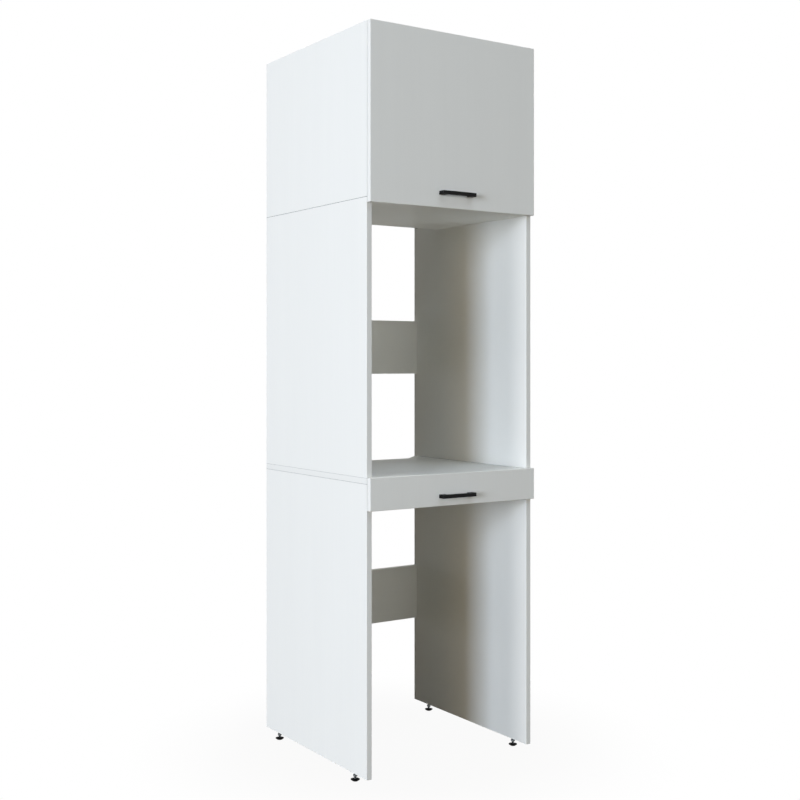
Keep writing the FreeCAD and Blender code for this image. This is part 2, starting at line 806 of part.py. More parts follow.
def build_hinge_arm(side, x, pivot):
    """Makes a hinge arm that hooks up into the cup from under the cabinet top."""
    arm = new_body(f"hinge_arm_{side}")
    upper = p.top_panel - d.plate_thickness
    lower = upper - d.arm_height
    near = p.pivot_y - d.arm_leg / 2
    far = p.pivot_y + d.arm_leg / 2
    end = p.flap_back + d.arm_reach
    hook = [(near, lower), (end, lower), (end, upper), (far, upper)]
    hook += [(far, p.pivot_z), (near, p.pivot_z)]
    pad_outline(arm, "Hook", "right", x - d.arm_width / 2, hook, d.arm_width)
    pad_circles(arm, "Eye", "right", x - d.arm_width / 2, pivot, d.arm_eye, d.arm_width)
    channel = rectangle((p.flap_back + d.arm_channel_setback, lower), (end, upper))
    pad_outline(arm, "Channel", "right", x - d.arm_channel / 2, channel, d.arm_channel)
    drill(arm, "EyeHole", "right", x + d.arm_width / 2, pivot, d.pin + d.pin_gap, d.arm_width)


def build_hinge_plate(side, x):
    """Makes the cross-shaped plate that holds a hinge arm to the cabinet top."""
    plate = new_body(f"hinge_plate_{side}")
    start = p.flap_back + d.plate_setback
    spine = rectangle((x - d.arm_channel / 2, start), (x + d.arm_channel / 2, start + d.plate_length))
    pad_outline(plate, "Spine", "bottom", p.top_panel, spine, d.plate_thickness)
    middle = start + d.plate_length / 2
    wings = rectangle((x - d.plate_wing / 2, middle - d.plate_wing_length / 2),
                      (x + d.plate_wing / 2, middle + d.plate_wing_length / 2))
    pad_outline(plate, "Wings", "bottom", p.top_panel, wings, d.plate_wing_thickness)


def lean_strut(body, side):
    """Stands a strut piece on the side bracket's stud and leans it towards the flap's stud."""
    angle = f"atan2({p.strut_run.text}; {p.strut_climb.text})"
    body.Placement = FreeCAD.Placement(FreeCAD.Vector(), FreeCAD.Rotation(FreeCAD.Vector(1, 0, 0), 1))
    place(body, p.strut * SIDES[side], p.strut_y, p.strut_z)
    body.setExpression("Placement.Rotation.Angle", angle)


def build_strut(side):
    """Makes one gas strut: tube and rod, both with a moulded socket at the end."""
    half = d.strut_socket_width / 2
    tube = new_body(f"strut_tube_{side}")
    pad_circles(tube, "Socket", "right", -half, [(0, 0)], d.strut_socket, d.strut_socket_width)
    shoulder = p.tube_end - d.strut_nose_length
    pad_circles(tube, "Tube", "top", d.strut_tube_start, [(0, 0)], d.strut_tube,
                shoulder - d.strut_tube_start)
    pad_circles(tube, "Nose", "top", shoulder, [(0, 0)], d.strut_nose, d.strut_nose_length)
    drill(tube, "RodBore", "top", p.tube_end, [(0, 0)], d.strut_rod + d.strut_rod_gap,
          p.tube_end - p.rod_start + d.end_gap)
    drill(tube, "StudBore", side, half * SIDES[side], [(0, 0)], d.strut_stud + d.strut_stud_gap,
          d.strut_stud_bite + d.end_gap)
    lean_strut(tube, side)
    rod = new_body(f"strut_rod_{side}")
    pad_circles(rod, "Rod", "top", p.rod_start, [(0, 0)], d.strut_rod, d.strut_rod_bite)
    pad_circles(rod, "Socket", "right", -half, [(0, p.strut_length)], d.strut_socket,
                d.strut_socket_width)
    lean_strut(rod, side)


def build_strut_brackets(side):
    """Makes a strut's bracket on the side, with its stud, and its bracket on the flap."""
    sign = SIDES[side]
    inward = INWARD[side]
    half = d.bracket_width / 2
    bracket = new_body(f"strut_side_bracket_{side}")
    plate = rectangle((p.strut_y - half, p.strut_z - d.bracket_length / 2),
                      (p.strut_y + half, p.strut_z + d.bracket_length / 2))
    pad_outline(bracket, "Plate", inward, p.inner * sign, plate, d.bracket_plate)
    stud = d.strut_inset - d.strut_socket_width / 2 + d.strut_stud_bite
    pad_circles(bracket, "Stud", inward, p.inner * sign, [(p.strut_y, p.strut_z)], d.strut_stud, stud)
    flap_bracket = new_body(f"strut_flap_bracket_{side}")
    face = p.strut - d.strut_socket_width / 2 - d.lug_gap
    pivot = [(p.stud_y, p.stud_z)]
    lug = rectangle((p.flap_back, p.stud_z - half), (p.stud_y, p.stud_z + half))
    pad_outline(flap_bracket, "Lug", inward, face * sign, lug, d.bracket_plate)
    pad_circles(flap_bracket, "LugEnd", inward, face * sign, pivot, d.bracket_width, d.bracket_plate)
    foot = rectangle((face * sign, p.stud_z - half),
                     ((face - d.lug_foot) * sign, p.stud_z + half))
    pad_outline(flap_bracket, "Foot", "back", p.flap_back, foot, d.bracket_plate)
    pad_circles(flap_bracket, "RivetHead", inward, (face - d.bracket_plate) * sign, pivot,
                d.rivet_head, d.rivet_head_height)


def build_drawer():
    """Makes the drawer: a front, a four-sided box behind it and a thin bottom in grooves."""
    height = p.drawer_front + d.drawer_handle_rise
    front = new_board("drawer_front", (-p.outer, p.flap_face, p.drawer_front),
                      (p.outer, p.flap_back, p.drawer_top), d.front_edge_radius)
    axes = handle_screw_axes(height)
    drill(front, "ScrewHoles", "back", p.flap_back, axes, d.handle_screw + d.fit_gap, d.front_board)
    groove_top = p.drawer_bottom + d.drawer_bottom_board + d.groove_gap
    for side, sign in SIDES.items():
        board = new_board(f"drawer_side_{side}", (p.drawer_inner * sign, p.flap_back, p.drawer),
                          (p.drawer_outer * sign, p.drawer_back, p.drawer_box_top),
                          d.board_edge_radius)
        groove = rectangle((p.flap_back, p.drawer_bottom), (p.drawer_back, groove_top))
        cut_outline(board, "BottomGroove", INWARD[side], p.drawer_inner * sign, groove,
                    d.drawer_bottom_bite)
    inner_front = p.flap_back + d.drawer_board
    box_front = new_board("drawer_box_front", (-p.drawer_inner, p.flap_back, p.drawer),
                          (p.drawer_inner, inner_front, p.drawer_box_top), d.board_edge_radius)
    drill(box_front, "ScrewHoles", "back", inner_front, axes, d.handle_screw + d.fit_gap, d.drawer_board)
    groove = rectangle((-p.drawer_inner, p.drawer_bottom), (p.drawer_inner, groove_top))
    cut_outline(box_front, "BottomGroove", "back", inner_front, groove, d.drawer_bottom_bite)
    new_board("drawer_back", (-p.drawer_inner, p.drawer_back - d.drawer_board, groove_top),
              (p.drawer_inner, p.drawer_back, p.drawer_box_top), d.board_edge_radius)
    reach = p.drawer_inner + d.drawer_bottom_bite - d.end_gap
    start = inner_front - d.drawer_bottom_bite + d.end_gap
    lift = p.drawer_bottom + d.groove_gap / 2
    new_board("drawer_bottom", (-reach, start, lift),
              (reach, p.drawer_back, lift + d.drawer_bottom_board))
    build_handle("drawer", height, d.front_board + d.drawer_board)


def channel(outside, inside, end, half):
    """Gives a channel section from its web's two faces, the ends of its lips and its half height."""
    inner_half = half - d.runner_metal
    lower = [(outside, -half), (end, -half), (end, -inner_half), (inside, -inner_half)]
    upper = [(across, -lift) for across, lift in reversed(lower)]
    return lower + upper


def build_runner(side):
    """Makes a telescopic runner: members on the side and on the drawer, and one between them."""
    sign = SIDES[side]
    half = d.runner_height / 2
    step = d.runner_metal + d.runner_gap
    far = d.runner_space - step
    sections = {
        "cabinet": channel(as_size(0), d.runner_metal, far, half),
        "middle": channel(step, step + d.runner_metal, far, half - step),
        "drawer": channel(d.runner_space, d.runner_space - d.runner_metal, step * 2, half - step * 2),
    }
    for name, section in sections.items():
        body = new_body(f"runner_{name}_{side}")
        outline = [((p.inner - across) * sign, p.runner + lift) for across, lift in section]
        pad_outline(body, "Channel", "back", p.front + d.runner_setback, outline, d.runner_length)


def check_document():
    """Stops if a feature failed, a pocket cut nothing or a sub-part isn't a valid shape."""
    for item in document.Objects:
        if "Invalid" in item.State or "Error" in item.State:
            raise RuntimeError(f"{item.Name} of {item.Label} failed: {item.State}")
    for body in SUB_PARTS:
        for feature in body.Group:
            if feature.TypeId == "PartDesign::Pocket":
                cut = feature.BaseFeature.Shape.Volume - feature.Shape.Volume
                if cut < SMALLEST_CUT:
                    raise RuntimeError(f"{body.Label}: {feature.Name} cuts nothing")
        if body.Shape.isNull() or not body.Shape.isValid():
            raise RuntimeError(f"{body.Label} isn't a valid shape")


document = FreeCAD.newDocument("LaundryTower")
SUB_PARTS = []
d = write_sheet(document)
p = work_out_places()

build_feet()
for side_name in SIDES:
    build_lower_side(side_name)
    build_middle_side(side_name)
    build_top_side(side_name)
build_rail("lower_rail", p.lower)
build_rail("middle_rail", p.shelf_top)
build_shelf()
build_cabinet_boards()
build_cam_locks()
build_cam_bolts()
build_dowels()
build_shelf_screws()
build_bumpers()
build_flap()
build_drawer()
for side_name in SIDES:
    build_hinge(side_name)
    build_strut(side_name)
    build_strut_brackets(side_name)
    build_runner(side_name)

document.recompute()
check_document()
os.makedirs("parts", exist_ok=True)
for sub_part in SUB_PARTS:
    sub_part.Shape.exportStep(f"parts/{sub_part.Label}.step")
print(f"{len(SUB_PARTS)} sub-parts")
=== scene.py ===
"""Looks of a white tower for a washing machine and a tumble dryer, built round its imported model."""

import logging
import math
from dataclasses import dataclass
from enum import Enum
from typing import Sequence

import bmesh
import bpy
import numpy as np
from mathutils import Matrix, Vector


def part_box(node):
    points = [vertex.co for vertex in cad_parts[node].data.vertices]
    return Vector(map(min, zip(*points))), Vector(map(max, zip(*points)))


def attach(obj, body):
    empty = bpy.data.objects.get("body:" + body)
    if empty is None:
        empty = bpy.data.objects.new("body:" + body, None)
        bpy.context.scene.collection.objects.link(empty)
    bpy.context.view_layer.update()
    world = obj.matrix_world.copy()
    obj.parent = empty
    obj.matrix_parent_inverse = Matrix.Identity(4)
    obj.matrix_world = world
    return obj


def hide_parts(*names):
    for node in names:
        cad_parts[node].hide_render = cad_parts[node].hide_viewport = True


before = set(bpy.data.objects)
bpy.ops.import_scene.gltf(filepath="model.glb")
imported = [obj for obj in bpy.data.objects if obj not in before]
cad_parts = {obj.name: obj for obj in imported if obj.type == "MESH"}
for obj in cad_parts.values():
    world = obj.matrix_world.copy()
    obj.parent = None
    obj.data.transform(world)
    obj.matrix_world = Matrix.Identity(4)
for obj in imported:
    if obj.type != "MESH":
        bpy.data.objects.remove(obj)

log = logging.getLogger("laundry_tower")

Tree = bpy.types.NodeTree
Socket = bpy.types.NodeSocket
Corners = tuple[np.ndarray, np.ndarray]
Pair = tuple[float, float]
Triple = tuple[float, float, float]
Floats = tuple[float, ...]

MM = 0.001  # A millimetre, in Blender's metres
WELD = 1e-6  # Points nearer than this, in metres, become one
SHARP = math.radians(35)  # An edge that turns by more than this stays sharp
ALONG = 0.9  # A direction with this much of an axis counts as along it
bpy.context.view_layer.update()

UP = (0.0, 0.0, 1.0)
DOWN = (0.0, 0.0, -1.0)
BACKWARD = (0.0, 1.0, 0.0)
FORWARD = (0.0, -1.0, 0.0)
RIGHTWARD = (1.0, 0.0, 0.0)

# Blender's Mix node has several sockets of one name, so they go by number
MIX_FACTOR = 0
MIX_FLOATS = (2, 3)
MIX_COLOURS = (6, 7)
MIX_COLOUR_OUT = 2


class Axis(Enum):
    """A direction of the shared frame, by its index."""

    ACROSS = 0
    DEEP = 1
    UP = 2


class Side(Enum):
    """A side of the tower, by the sign of its X."""

    LEFT = -1
    RIGHT = 1

    @property
    def word(self) -> str:
        """The side's name as the model's nodes spell it."""
        return self.name.lower()

    @property
    def inward(self) -> Triple:
        """The direction from this side to the tower's middle."""
        return -self.value, 0.0, 0.0

    def outer(self, corners: Corners) -> float:
        """Gives the X of the face of a box that looks to this side."""
        return corners[1 if self is Side.RIGHT else 0][0]


def box(node: str) -> Corners:
    """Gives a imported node's lowest and highest corners, in millimetres."""
    low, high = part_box(node)
    return np.array(low) / MM, np.array(high) / MM


def middle_of(node: str) -> np.ndarray:
    """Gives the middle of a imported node's box, in millimetres."""
    low, high = box(node)
    return (low + high) / 2


def near_ends(corners: Corners, axis: Axis, inset: float) -> Pair:
    """Gives the two places that are an inset from a box's ends along an axis."""
    return corners[0][axis.value] + inset, corners[1][axis.value] - inset


def apart(middle: float, pitch: float) -> Pair:
    """Gives two places that are a pitch apart, with a middle between them."""
    return middle - pitch / 2, middle + pitch / 2


def lattice(across: Sequence[float], deep: Sequence[float], up: Sequence[float]) -> np.ndarray:
    """Gives every point whose X, Y and Z are in three lists, a row to each."""
    return np.stack(np.meshgrid(across, deep, up, indexing="ij"), axis=-1).reshape(-1, 3)


def stretched(axis: Axis, width: float, length: float) -> Floats:
    """Gives a grain's size along X, Y and Z: its length along one axis and its width along the others."""
    return tuple(length if each is axis else width for each in Axis)


def linear(code: str) -> tuple[float, float, float, float]:
    """Turns an sRGB hex colour to linear light.

    Args:
        code: Six hex digits after a hash sign.

    Returns:
        Red, green, blue and a full alpha.
    """
    shares = np.array([int(code[i:i + 2], 16) for i in (1, 3, 5)]) / 255
    bright = ((shares + 0.055) / 1.055) ** 2.4
    red, green, blue = np.where(shares <= 0.04045, shares / 12.92, bright)
    return float(red), float(green), float(blue), 1.0


PLAIN_WHITE = {"Color": linear("#FFFFFF"), "Strength": 1.0}  # What the set shows to the camera


def add_node(
    tree: Tree, kind: str, settings: dict | None = None, links: dict | None = None
) -> bpy.types.Node:
    """Adds a node to a tree.

    Args:
        tree: The tree that takes the node.
        kind: Blender's name for the kind of node.
        settings: Values for its inputs, by name or number, and for its properties.
        links: The output that each named or numbered input is joined to.

    Returns:
        The new node.
    """
    node = tree.nodes.new(kind)
    for key, value in (settings or {}).items():
        if isinstance(key, int) or key in node.inputs:
            node.inputs[key].default_value = value
        else:
            setattr(node, key, value)
    for key, output in (links or {}).items():
        tree.links.new(output, node.inputs[key])
    return node


def add_object(name: str, data: bpy.types.ID) -> bpy.types.Object:
    """Adds an object to the scene.

    Args:
        name: The object's name.
        data: Its mesh, lamp or camera.

    Returns:
        The new object.
    """
    made = bpy.data.objects.new(name, data)
    bpy.context.scene.collection.objects.link(made)
    return made


@dataclass(frozen=True)
class Shading:
    """A material's nodes, and what a finish does with them.

    Attributes:
        tree: The material's tree.
        shader: Its one shader.
        noise_range: Where nearly all of Blender's noise lies, which a pattern spreads out.
    """

    tree: Tree
    shader: bpy.types.Node
    noise_range: Pair = (0.3, 0.7)

    def mottle(self, sizes: float | Sequence[float], detail: float) -> Socket:
        """Adds a cloudy pattern that runs from nought to one.

        Args:
            sizes: The pattern's grain in millimetres, along each axis where they differ.
            detail: How many finer layers it has.

        Returns:
            The pattern's output.
        """
        place = add_node(self.tree, "ShaderNodeTexCoord")
        scale = (1 / (np.broadcast_to(sizes, 3) * MM)).tolist()
        links = {"Vector": place.outputs["Object"]}
        links = {"Vector": add_node(self.tree, "ShaderNodeMapping", {"Scale": scale}, links).outputs[0]}
        noise = add_node(self.tree, "ShaderNodeTexNoise", {"Scale": 1.0, "Detail": detail}, links)
        ends = dict(zip(("From Min", "From Max"), self.noise_range))
        wide = add_node(self.tree, "ShaderNodeMapRange", ends, {"Value": noise.outputs["Fac"]})
        return wide.outputs["Result"]

    def coat(
        self,
        ground: str,
        layers: Sequence[tuple[Socket, str]],
        relief: tuple[Socket, float] | None = None,
        gloss: tuple[Socket, float, float] | None = None,
    ) -> None:
        """Ties patterns to the shader's colour, relief and roughness.

        Args:
            ground: The sRGB colour under all the layers.
            layers: Each layer's pattern, and the sRGB colour that it lays where the pattern is one.
            relief: A pattern that is raised on the surface, and by how many millimetres.
            gloss: A pattern, and how far the roughness is from its mean where it is nought and one.
        """
        below, above = MIX_COLOURS
        colour = None
        for pattern, code in layers:
            settings = {"data_type": "RGBA", below: linear(ground), above: linear(code)}
            links = {MIX_FACTOR: pattern} if colour is None else {MIX_FACTOR: pattern, below: colour}
            colour = add_node(self.tree, "ShaderNodeMix", settings, links).outputs[MIX_COLOUR_OUT]
        self.tree.links.new(colour, self.shader.inputs["Base Color"])
        if relief:
            settings = {"Strength": 1.0, "Distance": relief[1] * MM}
            bump = add_node(self.tree, "ShaderNodeBump", settings, {"Height": relief[0]})
            self.tree.links.new(bump.outputs["Normal"], self.shader.inputs["Normal"])
        if gloss:
            mean = self.shader.inputs["Roughness"]
            settings = {"To Min": mean.default_value + gloss[1], "To Max": mean.default_value + gloss[2]}
            rough = add_node(self.tree, "ShaderNodeMapRange", settings, {"Value": gloss[0]})
            self.tree.links.new(rough.outputs["Result"], mean)


@dataclass(frozen=True)
class Finish:
    """A surface finish, dressed on one shader.

    Attributes:
        name: The material's name.
        colour: Its sRGB colour.
        roughness: How far it scatters a reflection.
        metallic: Whether it is bare metal, as one or nought.
        sheen: How strongly it mirrors its surroundings, where 0.5 is a plain lacquer.
    """

    name: str
    colour: str
    roughness: float
    metallic: float = 0.0
    sheen: float = 0.5

    def material(self) -> bpy.types.Material:
        """Makes the material, or finds it where it has been made.

        Returns:
            The material.
        """
        found = bpy.data.materials.get(self.name)
        if found:
            return found
        material = bpy.data.materials.new(self.name)
        material.use_nodes = True
        shader = material.node_tree.nodes["Principled BSDF"]
        shader.inputs["Base Color"].default_value = linear(self.colour)
        shader.inputs["Roughness"].default_value = self.roughness
        shader.inputs["Metallic"].default_value = self.metallic
        shader.inputs["Specular IOR Level"].default_value = self.sheen
        self.dress(Shading(material.node_tree, shader))
        return material

    def dress(self, shading: Shading) -> None:
        """Adds the finish's own patterns to its shader."""
        raise NotImplementedError


@dataclass(frozen=True)
class FacedBoard(Finish):
    """Melamine-faced chipboard, pressed with a faint fibre texture, and edged with a smooth band.

    The eye gets an even white with soft streaks along the grain, and plainer, glossier edges.

    Attributes:
        grain: The axis that the fibres run along.
        thickness: The axis through the board.
        fibre: A fibre's width and length in millimetres, coarser than real ones of about 1 mm, which
            don't show in the render.
        streak: A streak's width and length, in millimetres.
        streak_share: The streaks' share in the change of tone, where the rest is the fibres'.
        streak_colour: The streaks' darker sRGB colour.
        relief: The fibres' height, in millimetres.
        edge_lean: A face with no more than this of its normal along the thickness has the edge band.
        edge_colour: The edge band's sRGB colour.
        edge_gloss: How far the edge band's roughness is from the facing's.
        seams: Levels, in millimetres, at which the board's end meets another board.
        seam_width: How far the shadow of such a joint reaches, in millimetres.
        seam_colour: That shadow's sRGB colour.
    """

    sheen: float = 0.1
    grain: Axis = Axis.UP
    thickness: Axis = Axis.ACROSS
    fibre: Pair = (5.0, 420.0)
    streak: Pair = (70.0, 700.0)
    streak_share: float = 0.45
    streak_colour: str = "#E8E8E3"
    relief: float = 0.004
    edge_lean: float = 0.5
    edge_colour: str = "#E7E7E2"
    edge_gloss: float = -0.08
    seams: Floats = ()
    seam_width: float = 0.6
    seam_colour: str = "#5E6264"

    def dress(self, shading: Shading) -> None:
        """Adds the streaks, the fibre relief, the edge band and the shadows of the joints.

        Args:
            shading: The material's nodes.
        """
        tree = shading.tree
        fibre = shading.mottle(stretched(self.grain, *self.fibre), detail=4.0)
        streak = shading.mottle(stretched(self.grain, *self.streak), detail=2.0)
        patterns = dict(zip(MIX_FLOATS, (fibre, streak)))
        tone = add_node(tree, "ShaderNodeMix", {MIX_FACTOR: self.streak_share}, patterns).outputs[0]
        place = add_node(tree, "ShaderNodeTexCoord")
        normal = add_node(tree, "ShaderNodeSeparateXYZ", links={0: place.outputs["Normal"]})
        flat = {"operation": "COMPARE", 1: 0.0, 2: self.edge_lean}
        edge = add_node(tree, "ShaderNodeMath", flat, {0: normal.outputs[self.thickness.value]}).outputs[0]
        layers = [(tone, self.colour), (edge, self.edge_colour)]
        for level in self.seams:
            point = add_node(tree, "ShaderNodeSeparateXYZ", links={0: place.outputs["Object"]})
            close = {"operation": "COMPARE", 1: level * MM, 2: self.seam_width * MM}
            seam = add_node(tree, "ShaderNodeMath", close, {0: point.outputs[Axis.UP.value]})
            layers.append((seam.outputs[0], self.seam_colour))
        shading.coat(self.streak_colour, layers, (fibre, self.relief), (edge, 0.0, self.edge_gloss))


@dataclass(frozen=True)
class PaintedFibreboard(Finish):
    """Thin hardboard lacquered white. The eye gets a flat sheet with a fine felted grain.

    Attributes:
        fleck: The sRGB colour of the felt's hollows.
        felt: The felt's grain in millimetres, coarser than the real one so that it shows in the render.
        relief: The felt's depth, in millimetres.
    """

    fleck: str = "#D2D4D2"
    felt: float = 3.0
    relief: float = 0.03

    def dress(self, shading: Shading) -> None:
        """Adds the felted grain."""
        grain = shading.mottle(self.felt, detail=5.0)
        shading.coat(self.fleck, [(grain, self.colour)], (grain, self.relief))


@dataclass(frozen=True)
class PowderCoat(Finish):
    """Powder coat baked on metal. The eye gets an even satin, with a slight orange peel in its reflections.

    Attributes:
        worn: The sRGB colour of its slightly paler patches.
        patch: Those patches' size, in millimetres.
        peel: The orange peel's grain, in millimetres.
        relief: The orange peel's depth, in millimetres.
        gloss: How far the roughness goes below and above its mean.
    """

    sheen: float = 0.1
    worn: str = "#0A0A0A"
    patch: float = 18.0
    peel: float = 1.4
    relief: float = 0.02
    gloss: Pair = (-0.05, 0.06)

    def dress(self, shading: Shading) -> None:
        """Adds the orange peel, and a faint change of tone and gloss."""
        peel, patch = shading.mottle(self.peel, detail=2.0), shading.mottle(self.patch, detail=3.0)
        shading.coat(self.colour, [(patch, self.worn)], (peel, self.relief), (patch, *self.gloss))


@dataclass(frozen=True)
class MouldedNylon(Finish):
    """Glass-filled nylon from a spark-eroded mould. The eye gets a deep matt black with a fine even grain.

    Attributes:
        bloom: The sRGB colour of its slightly paler patches.
        patch: Those patches' size, in millimetres.
        grain: The mould's grain in millimetres, coarser than the real one so that it shows in the render.
        relief: The grain's depth, in millimetres.
    """

    sheen: float = 0.08
    bloom: str = "#090909"
    patch: float = 8.0
    grain: float = 0.9
    relief: float = 0.03

    def dress(self, shading: Shading) -> None:
        """Adds the mould's grain, and a faint change of tone."""
        grain, patch = shading.mottle(self.grain, detail=2.0), shading.mottle(self.patch, detail=3.0)
        shading.coat(self.colour, [(patch, self.bloom)], (grain, self.relief))


@dataclass(frozen=True)
class PlatedSteel(Finish):
    """Rolled, pressed or cast metal with a thin plated coat.

    The eye gets a grey or silvery metal with faint marks along one axis and patches of duller plate.

    Attributes:
        rolled: The axis that the marks run along.
        mark: A mark's width and length in millimetres, coarser than real ones so that they show.
        relief: The marks' depth, in millimetres.
        shade: The sRGB colour of its duller patches.
        patch: Those patches' size, in millimetres.
        gloss: How far the roughness goes below and above its mean.
    """

    metallic: float = 1.0
    rolled: Axis = Axis.DEEP
    mark: Pair = (0.6, 30.0)
    relief: float = 0.002
    shade: str = "#A6AAAC"
    patch: float = 12.0
    gloss: Pair = (-0.03, 0.05)

    def dress(self, shading: Shading) -> None:
        """Adds the marks and the patches.

        Args:
            shading: The material's nodes.
        """
        mark = shading.mottle(stretched(self.rolled, *self.mark), detail=3.0)
        patch = shading.mottle(self.patch, detail=3.0)
        shading.coat(self.shade, [(patch, self.colour)], (mark, self.relief), (mark, *self.gloss))


@dataclass(frozen=True)
class TurnedBeech(Finish):
    """Steamed beech, turned and fluted. The eye gets a pink-brown with short dark flecks along the grain.

    Attributes:
        grain: The axis that the flecks run along.
        fleck: A fleck's width and length, in millimetres.
        fleck_colour: The flecks' sRGB colour.
        relief: The flecks' depth, in millimetres.
    """

    grain: Axis = Axis.ACROSS
    fleck: Pair = (0.8, 8.0)
    fleck_colour: str = "#A9794E"
    relief: float = 0.02

    def dress(self, shading: Shading) -> None:
        """Adds the flecks."""
        fleck = shading.mottle(stretched(self.grain, *self.fleck), detail=3.0)
        shading.coat(self.fleck_colour, [(fleck, self.colour)], (fleck, self.relief))


@dataclass(frozen=True)
class CastSilicone(Finish):
    """Clear cast silicone. The eye gets a soft, slightly cloudy drop.

    Attributes:
        cloud: The sRGB colour of its cloudiness.
        haze: The cloudiness's grain, in millimetres.
        clear: The share of light that it lets through.
        ior: Its index of refraction.
    """

    cloud: str = "#D4D8D8"
    haze: float = 2.0
    clear: float = 0.6
    ior: float = 1.41

    def dress(self, shading: Shading) -> None:
        """Adds the cloudiness and lets light through.

        Args:
            shading: The material's nodes.
        """
        shading.shader.inputs["Transmission Weight"].default_value = self.clear
        shading.shader.inputs["IOR"].default_value = self.ior
        haze = shading.mottle(self.haze, detail=2.0)
        shading.coat(self.cloud, [(haze, self.colour)])


# Levels at which the side boards end, in millimetres
SIDE_SEAMS = (*(float(corner[2]) for corner in box("shelf")), float(box("top_side_left")[0][2]))

# One white for all the boards, which differ in the run of their grain and in which faces are edges. The
# flat ones have less sheen, because they are seen at a slant, where a facing mirrors most
WHITE = {"colour": "#EAEAE5", "roughness": 0.46}
LYING = {"grain": Axis.ACROSS, "thickness": Axis.UP, "sheen": 0.02}
SIDE_BOARD = FacedBoard("Melamine-faced chipboard, sides", seams=SIDE_SEAMS, **WHITE)
CROSS_BOARD = FacedBoard("Melamine-faced chipboard, flat", **LYING, **WHITE)
RAIL_BOARD = FacedBoard("Melamine-faced chipboard, rails", grain=Axis.ACROSS, thickness=Axis.DEEP, **WHITE)
FRONT_BOARD = FacedBoard("Melamine-faced chipboard, fronts", thickness=Axis.DEEP, **WHITE)
DRAWER_SIDE_BOARD = FacedBoard("Melamine-faced chipboard, drawer sides", grain=Axis.DEEP, **WHITE)
# A greyer, flatter white than the boards'
HARDBOARD = PaintedFibreboard("White lacquered hardboard", "#DDDFDD", 0.55)
# Black satin on the handles, a mid grey gloss on the struts
BLACK_COAT = PowderCoat("Black powder coat", "#060606", 0.42)
GREY_TUBE = PowderCoat("Grey enamelled tube", "#74787B", 0.38, worn="#7E8285", sheen=0.5)
BLACK_NYLON = MouldedNylon("Black moulded nylon", "#050505", 0.55)
# Zinc is a cool light grey. On the foot stems it is dark grey, painted shade that stands in for the dark
# reflections the stems show. Cast, it is greyer and more matt
ZINC = PlatedSteel("Zinc-plated steel", "#B4B8BA", 0.34)
SHADED_ZINC = PlatedSteel("Zinc-plated steel, dulled", "#66696A", 0.4, rolled=Axis.UP, shade="#505354")
ZINC_CASTING = PlatedSteel("Die-cast zinc", "#9DA1A4", 0.45, rolled=Axis.ACROSS, shade="#8F9396")
# Nickel is a warm silver with soft reflections, and chrome is a bright mirror
NICKEL = PlatedSteel("Nickel-plated steel", "#C6C3BC", 0.26, shade="#B9B6AF", relief=0.0006)
CHROME = PlatedSteel("Chromed steel", "#D8DADB", 0.1, rolled=Axis.UP, shade="#C9CCCE", relief=0.0004)
BEECH = TurnedBeech("Steamed beech", "#C49A6C", 0.6)
SILICONE = CastSilicone("Clear silicone", "#E6E9E9", 0.3)


@dataclass(frozen=True)
class Surface:
    """A surface of points joined by four-cornered faces.

    Attributes:
        points: Each point's X, Y and Z, in millimetres.
        faces: Each face's four point numbers.
    """

    points: np.ndarray
    faces: np.ndarray

    @classmethod
    def from_grid(cls, grid: np.ndarray, looped: bool = False) -> "Surface":
        """Joins a grid of points whose columns go round.

        Args:
            grid: Rows by columns by three.
            looped: Whether the last row is joined to the first as well.

        Returns:
            The surface.
        """
        number = np.arange(grid.shape[0] * grid.shape[1]).reshape(grid.shape[:2])
        if looped:
            number = np.vstack([number, number[:1]])
        beside = np.roll(number, -1, axis=1)
        faces = np.stack([number[:-1], beside[:-1], beside[1:], number[1:]], axis=-1)
        return cls(grid.reshape(-1, 3), faces.reshape(-1, 4))

    @classmethod
    def joined(cls, *surfaces: "Surface") -> "Surface":
        """Puts several surfaces into one.

        Args:
            *surfaces: The surfaces.

        Returns:
            All of them as one surface.
        """
        starts = np.cumsum([0] + [len(surface.points) for surface in surfaces[:-1]])
        faces = [surface.faces + start for surface, start in zip(surfaces, starts)]
        return cls(np.vstack([surface.points for surface in surfaces]), np.vstack(faces))

    def placed(self, places: np.ndarray, up: Sequence[float] = UP) -> "Surface":
        """Repeats the surface at several places.

        Args:
            places: One row of X, Y and Z for each copy.
            up: The direction that the surface's own Z takes.

        Returns:
            All the copies as one surface.
        """
        rise = np.array(up) / np.linalg.norm(up)
        across = np.cross(BACKWARD if abs(rise[1]) < ALONG else UP, rise)
        across /= np.linalg.norm(across)
        turn = np.stack([across, np.cross(rise, across), rise])
        places = np.atleast_2d(places)
        points = (self.points @ turn)[None] + places[:, None]
        starts = np.arange(len(places))[:, None, None] * len(self.points)
        return Surface(points.reshape(-1, 3), (self.faces[None] + starts).reshape(-1, 4))


def around(turns: int) -> np.ndarray:
    """Gives evenly spaced angles of one turn."""
    return np.arange(turns) * math.tau / turns


def inside(values: np.ndarray, edge: float, soft: float) -> np.ndarray:
    """Gives one below an edge and nought above it, with a straight ramp of a given width between."""
    return np.clip((edge - values) / soft + 0.5, 0.0, 1.0)


def spun(radii: np.ndarray, heights: np.ndarray, turns: int) -> np.ndarray:
    """Carries a profile round the Z axis: a point is (radius cos a, radius sin a, height) at angle a.

    Args:
        radii: Radii by row, or by row and column.
        heights: Heights by row, or by row and column.
        turns: The number of columns.

    Returns:
        A grid of points.
    """
    angles = around(turns)
    rows = max(len(radii), len(heights))
    radii, heights = (
        np.broadcast_to(values.reshape(len(values), -1), (rows, turns)) for values in (radii, heights)
    )
    return np.stack([radii * np.cos(angles), radii * np.sin(angles), heights], axis=-1)


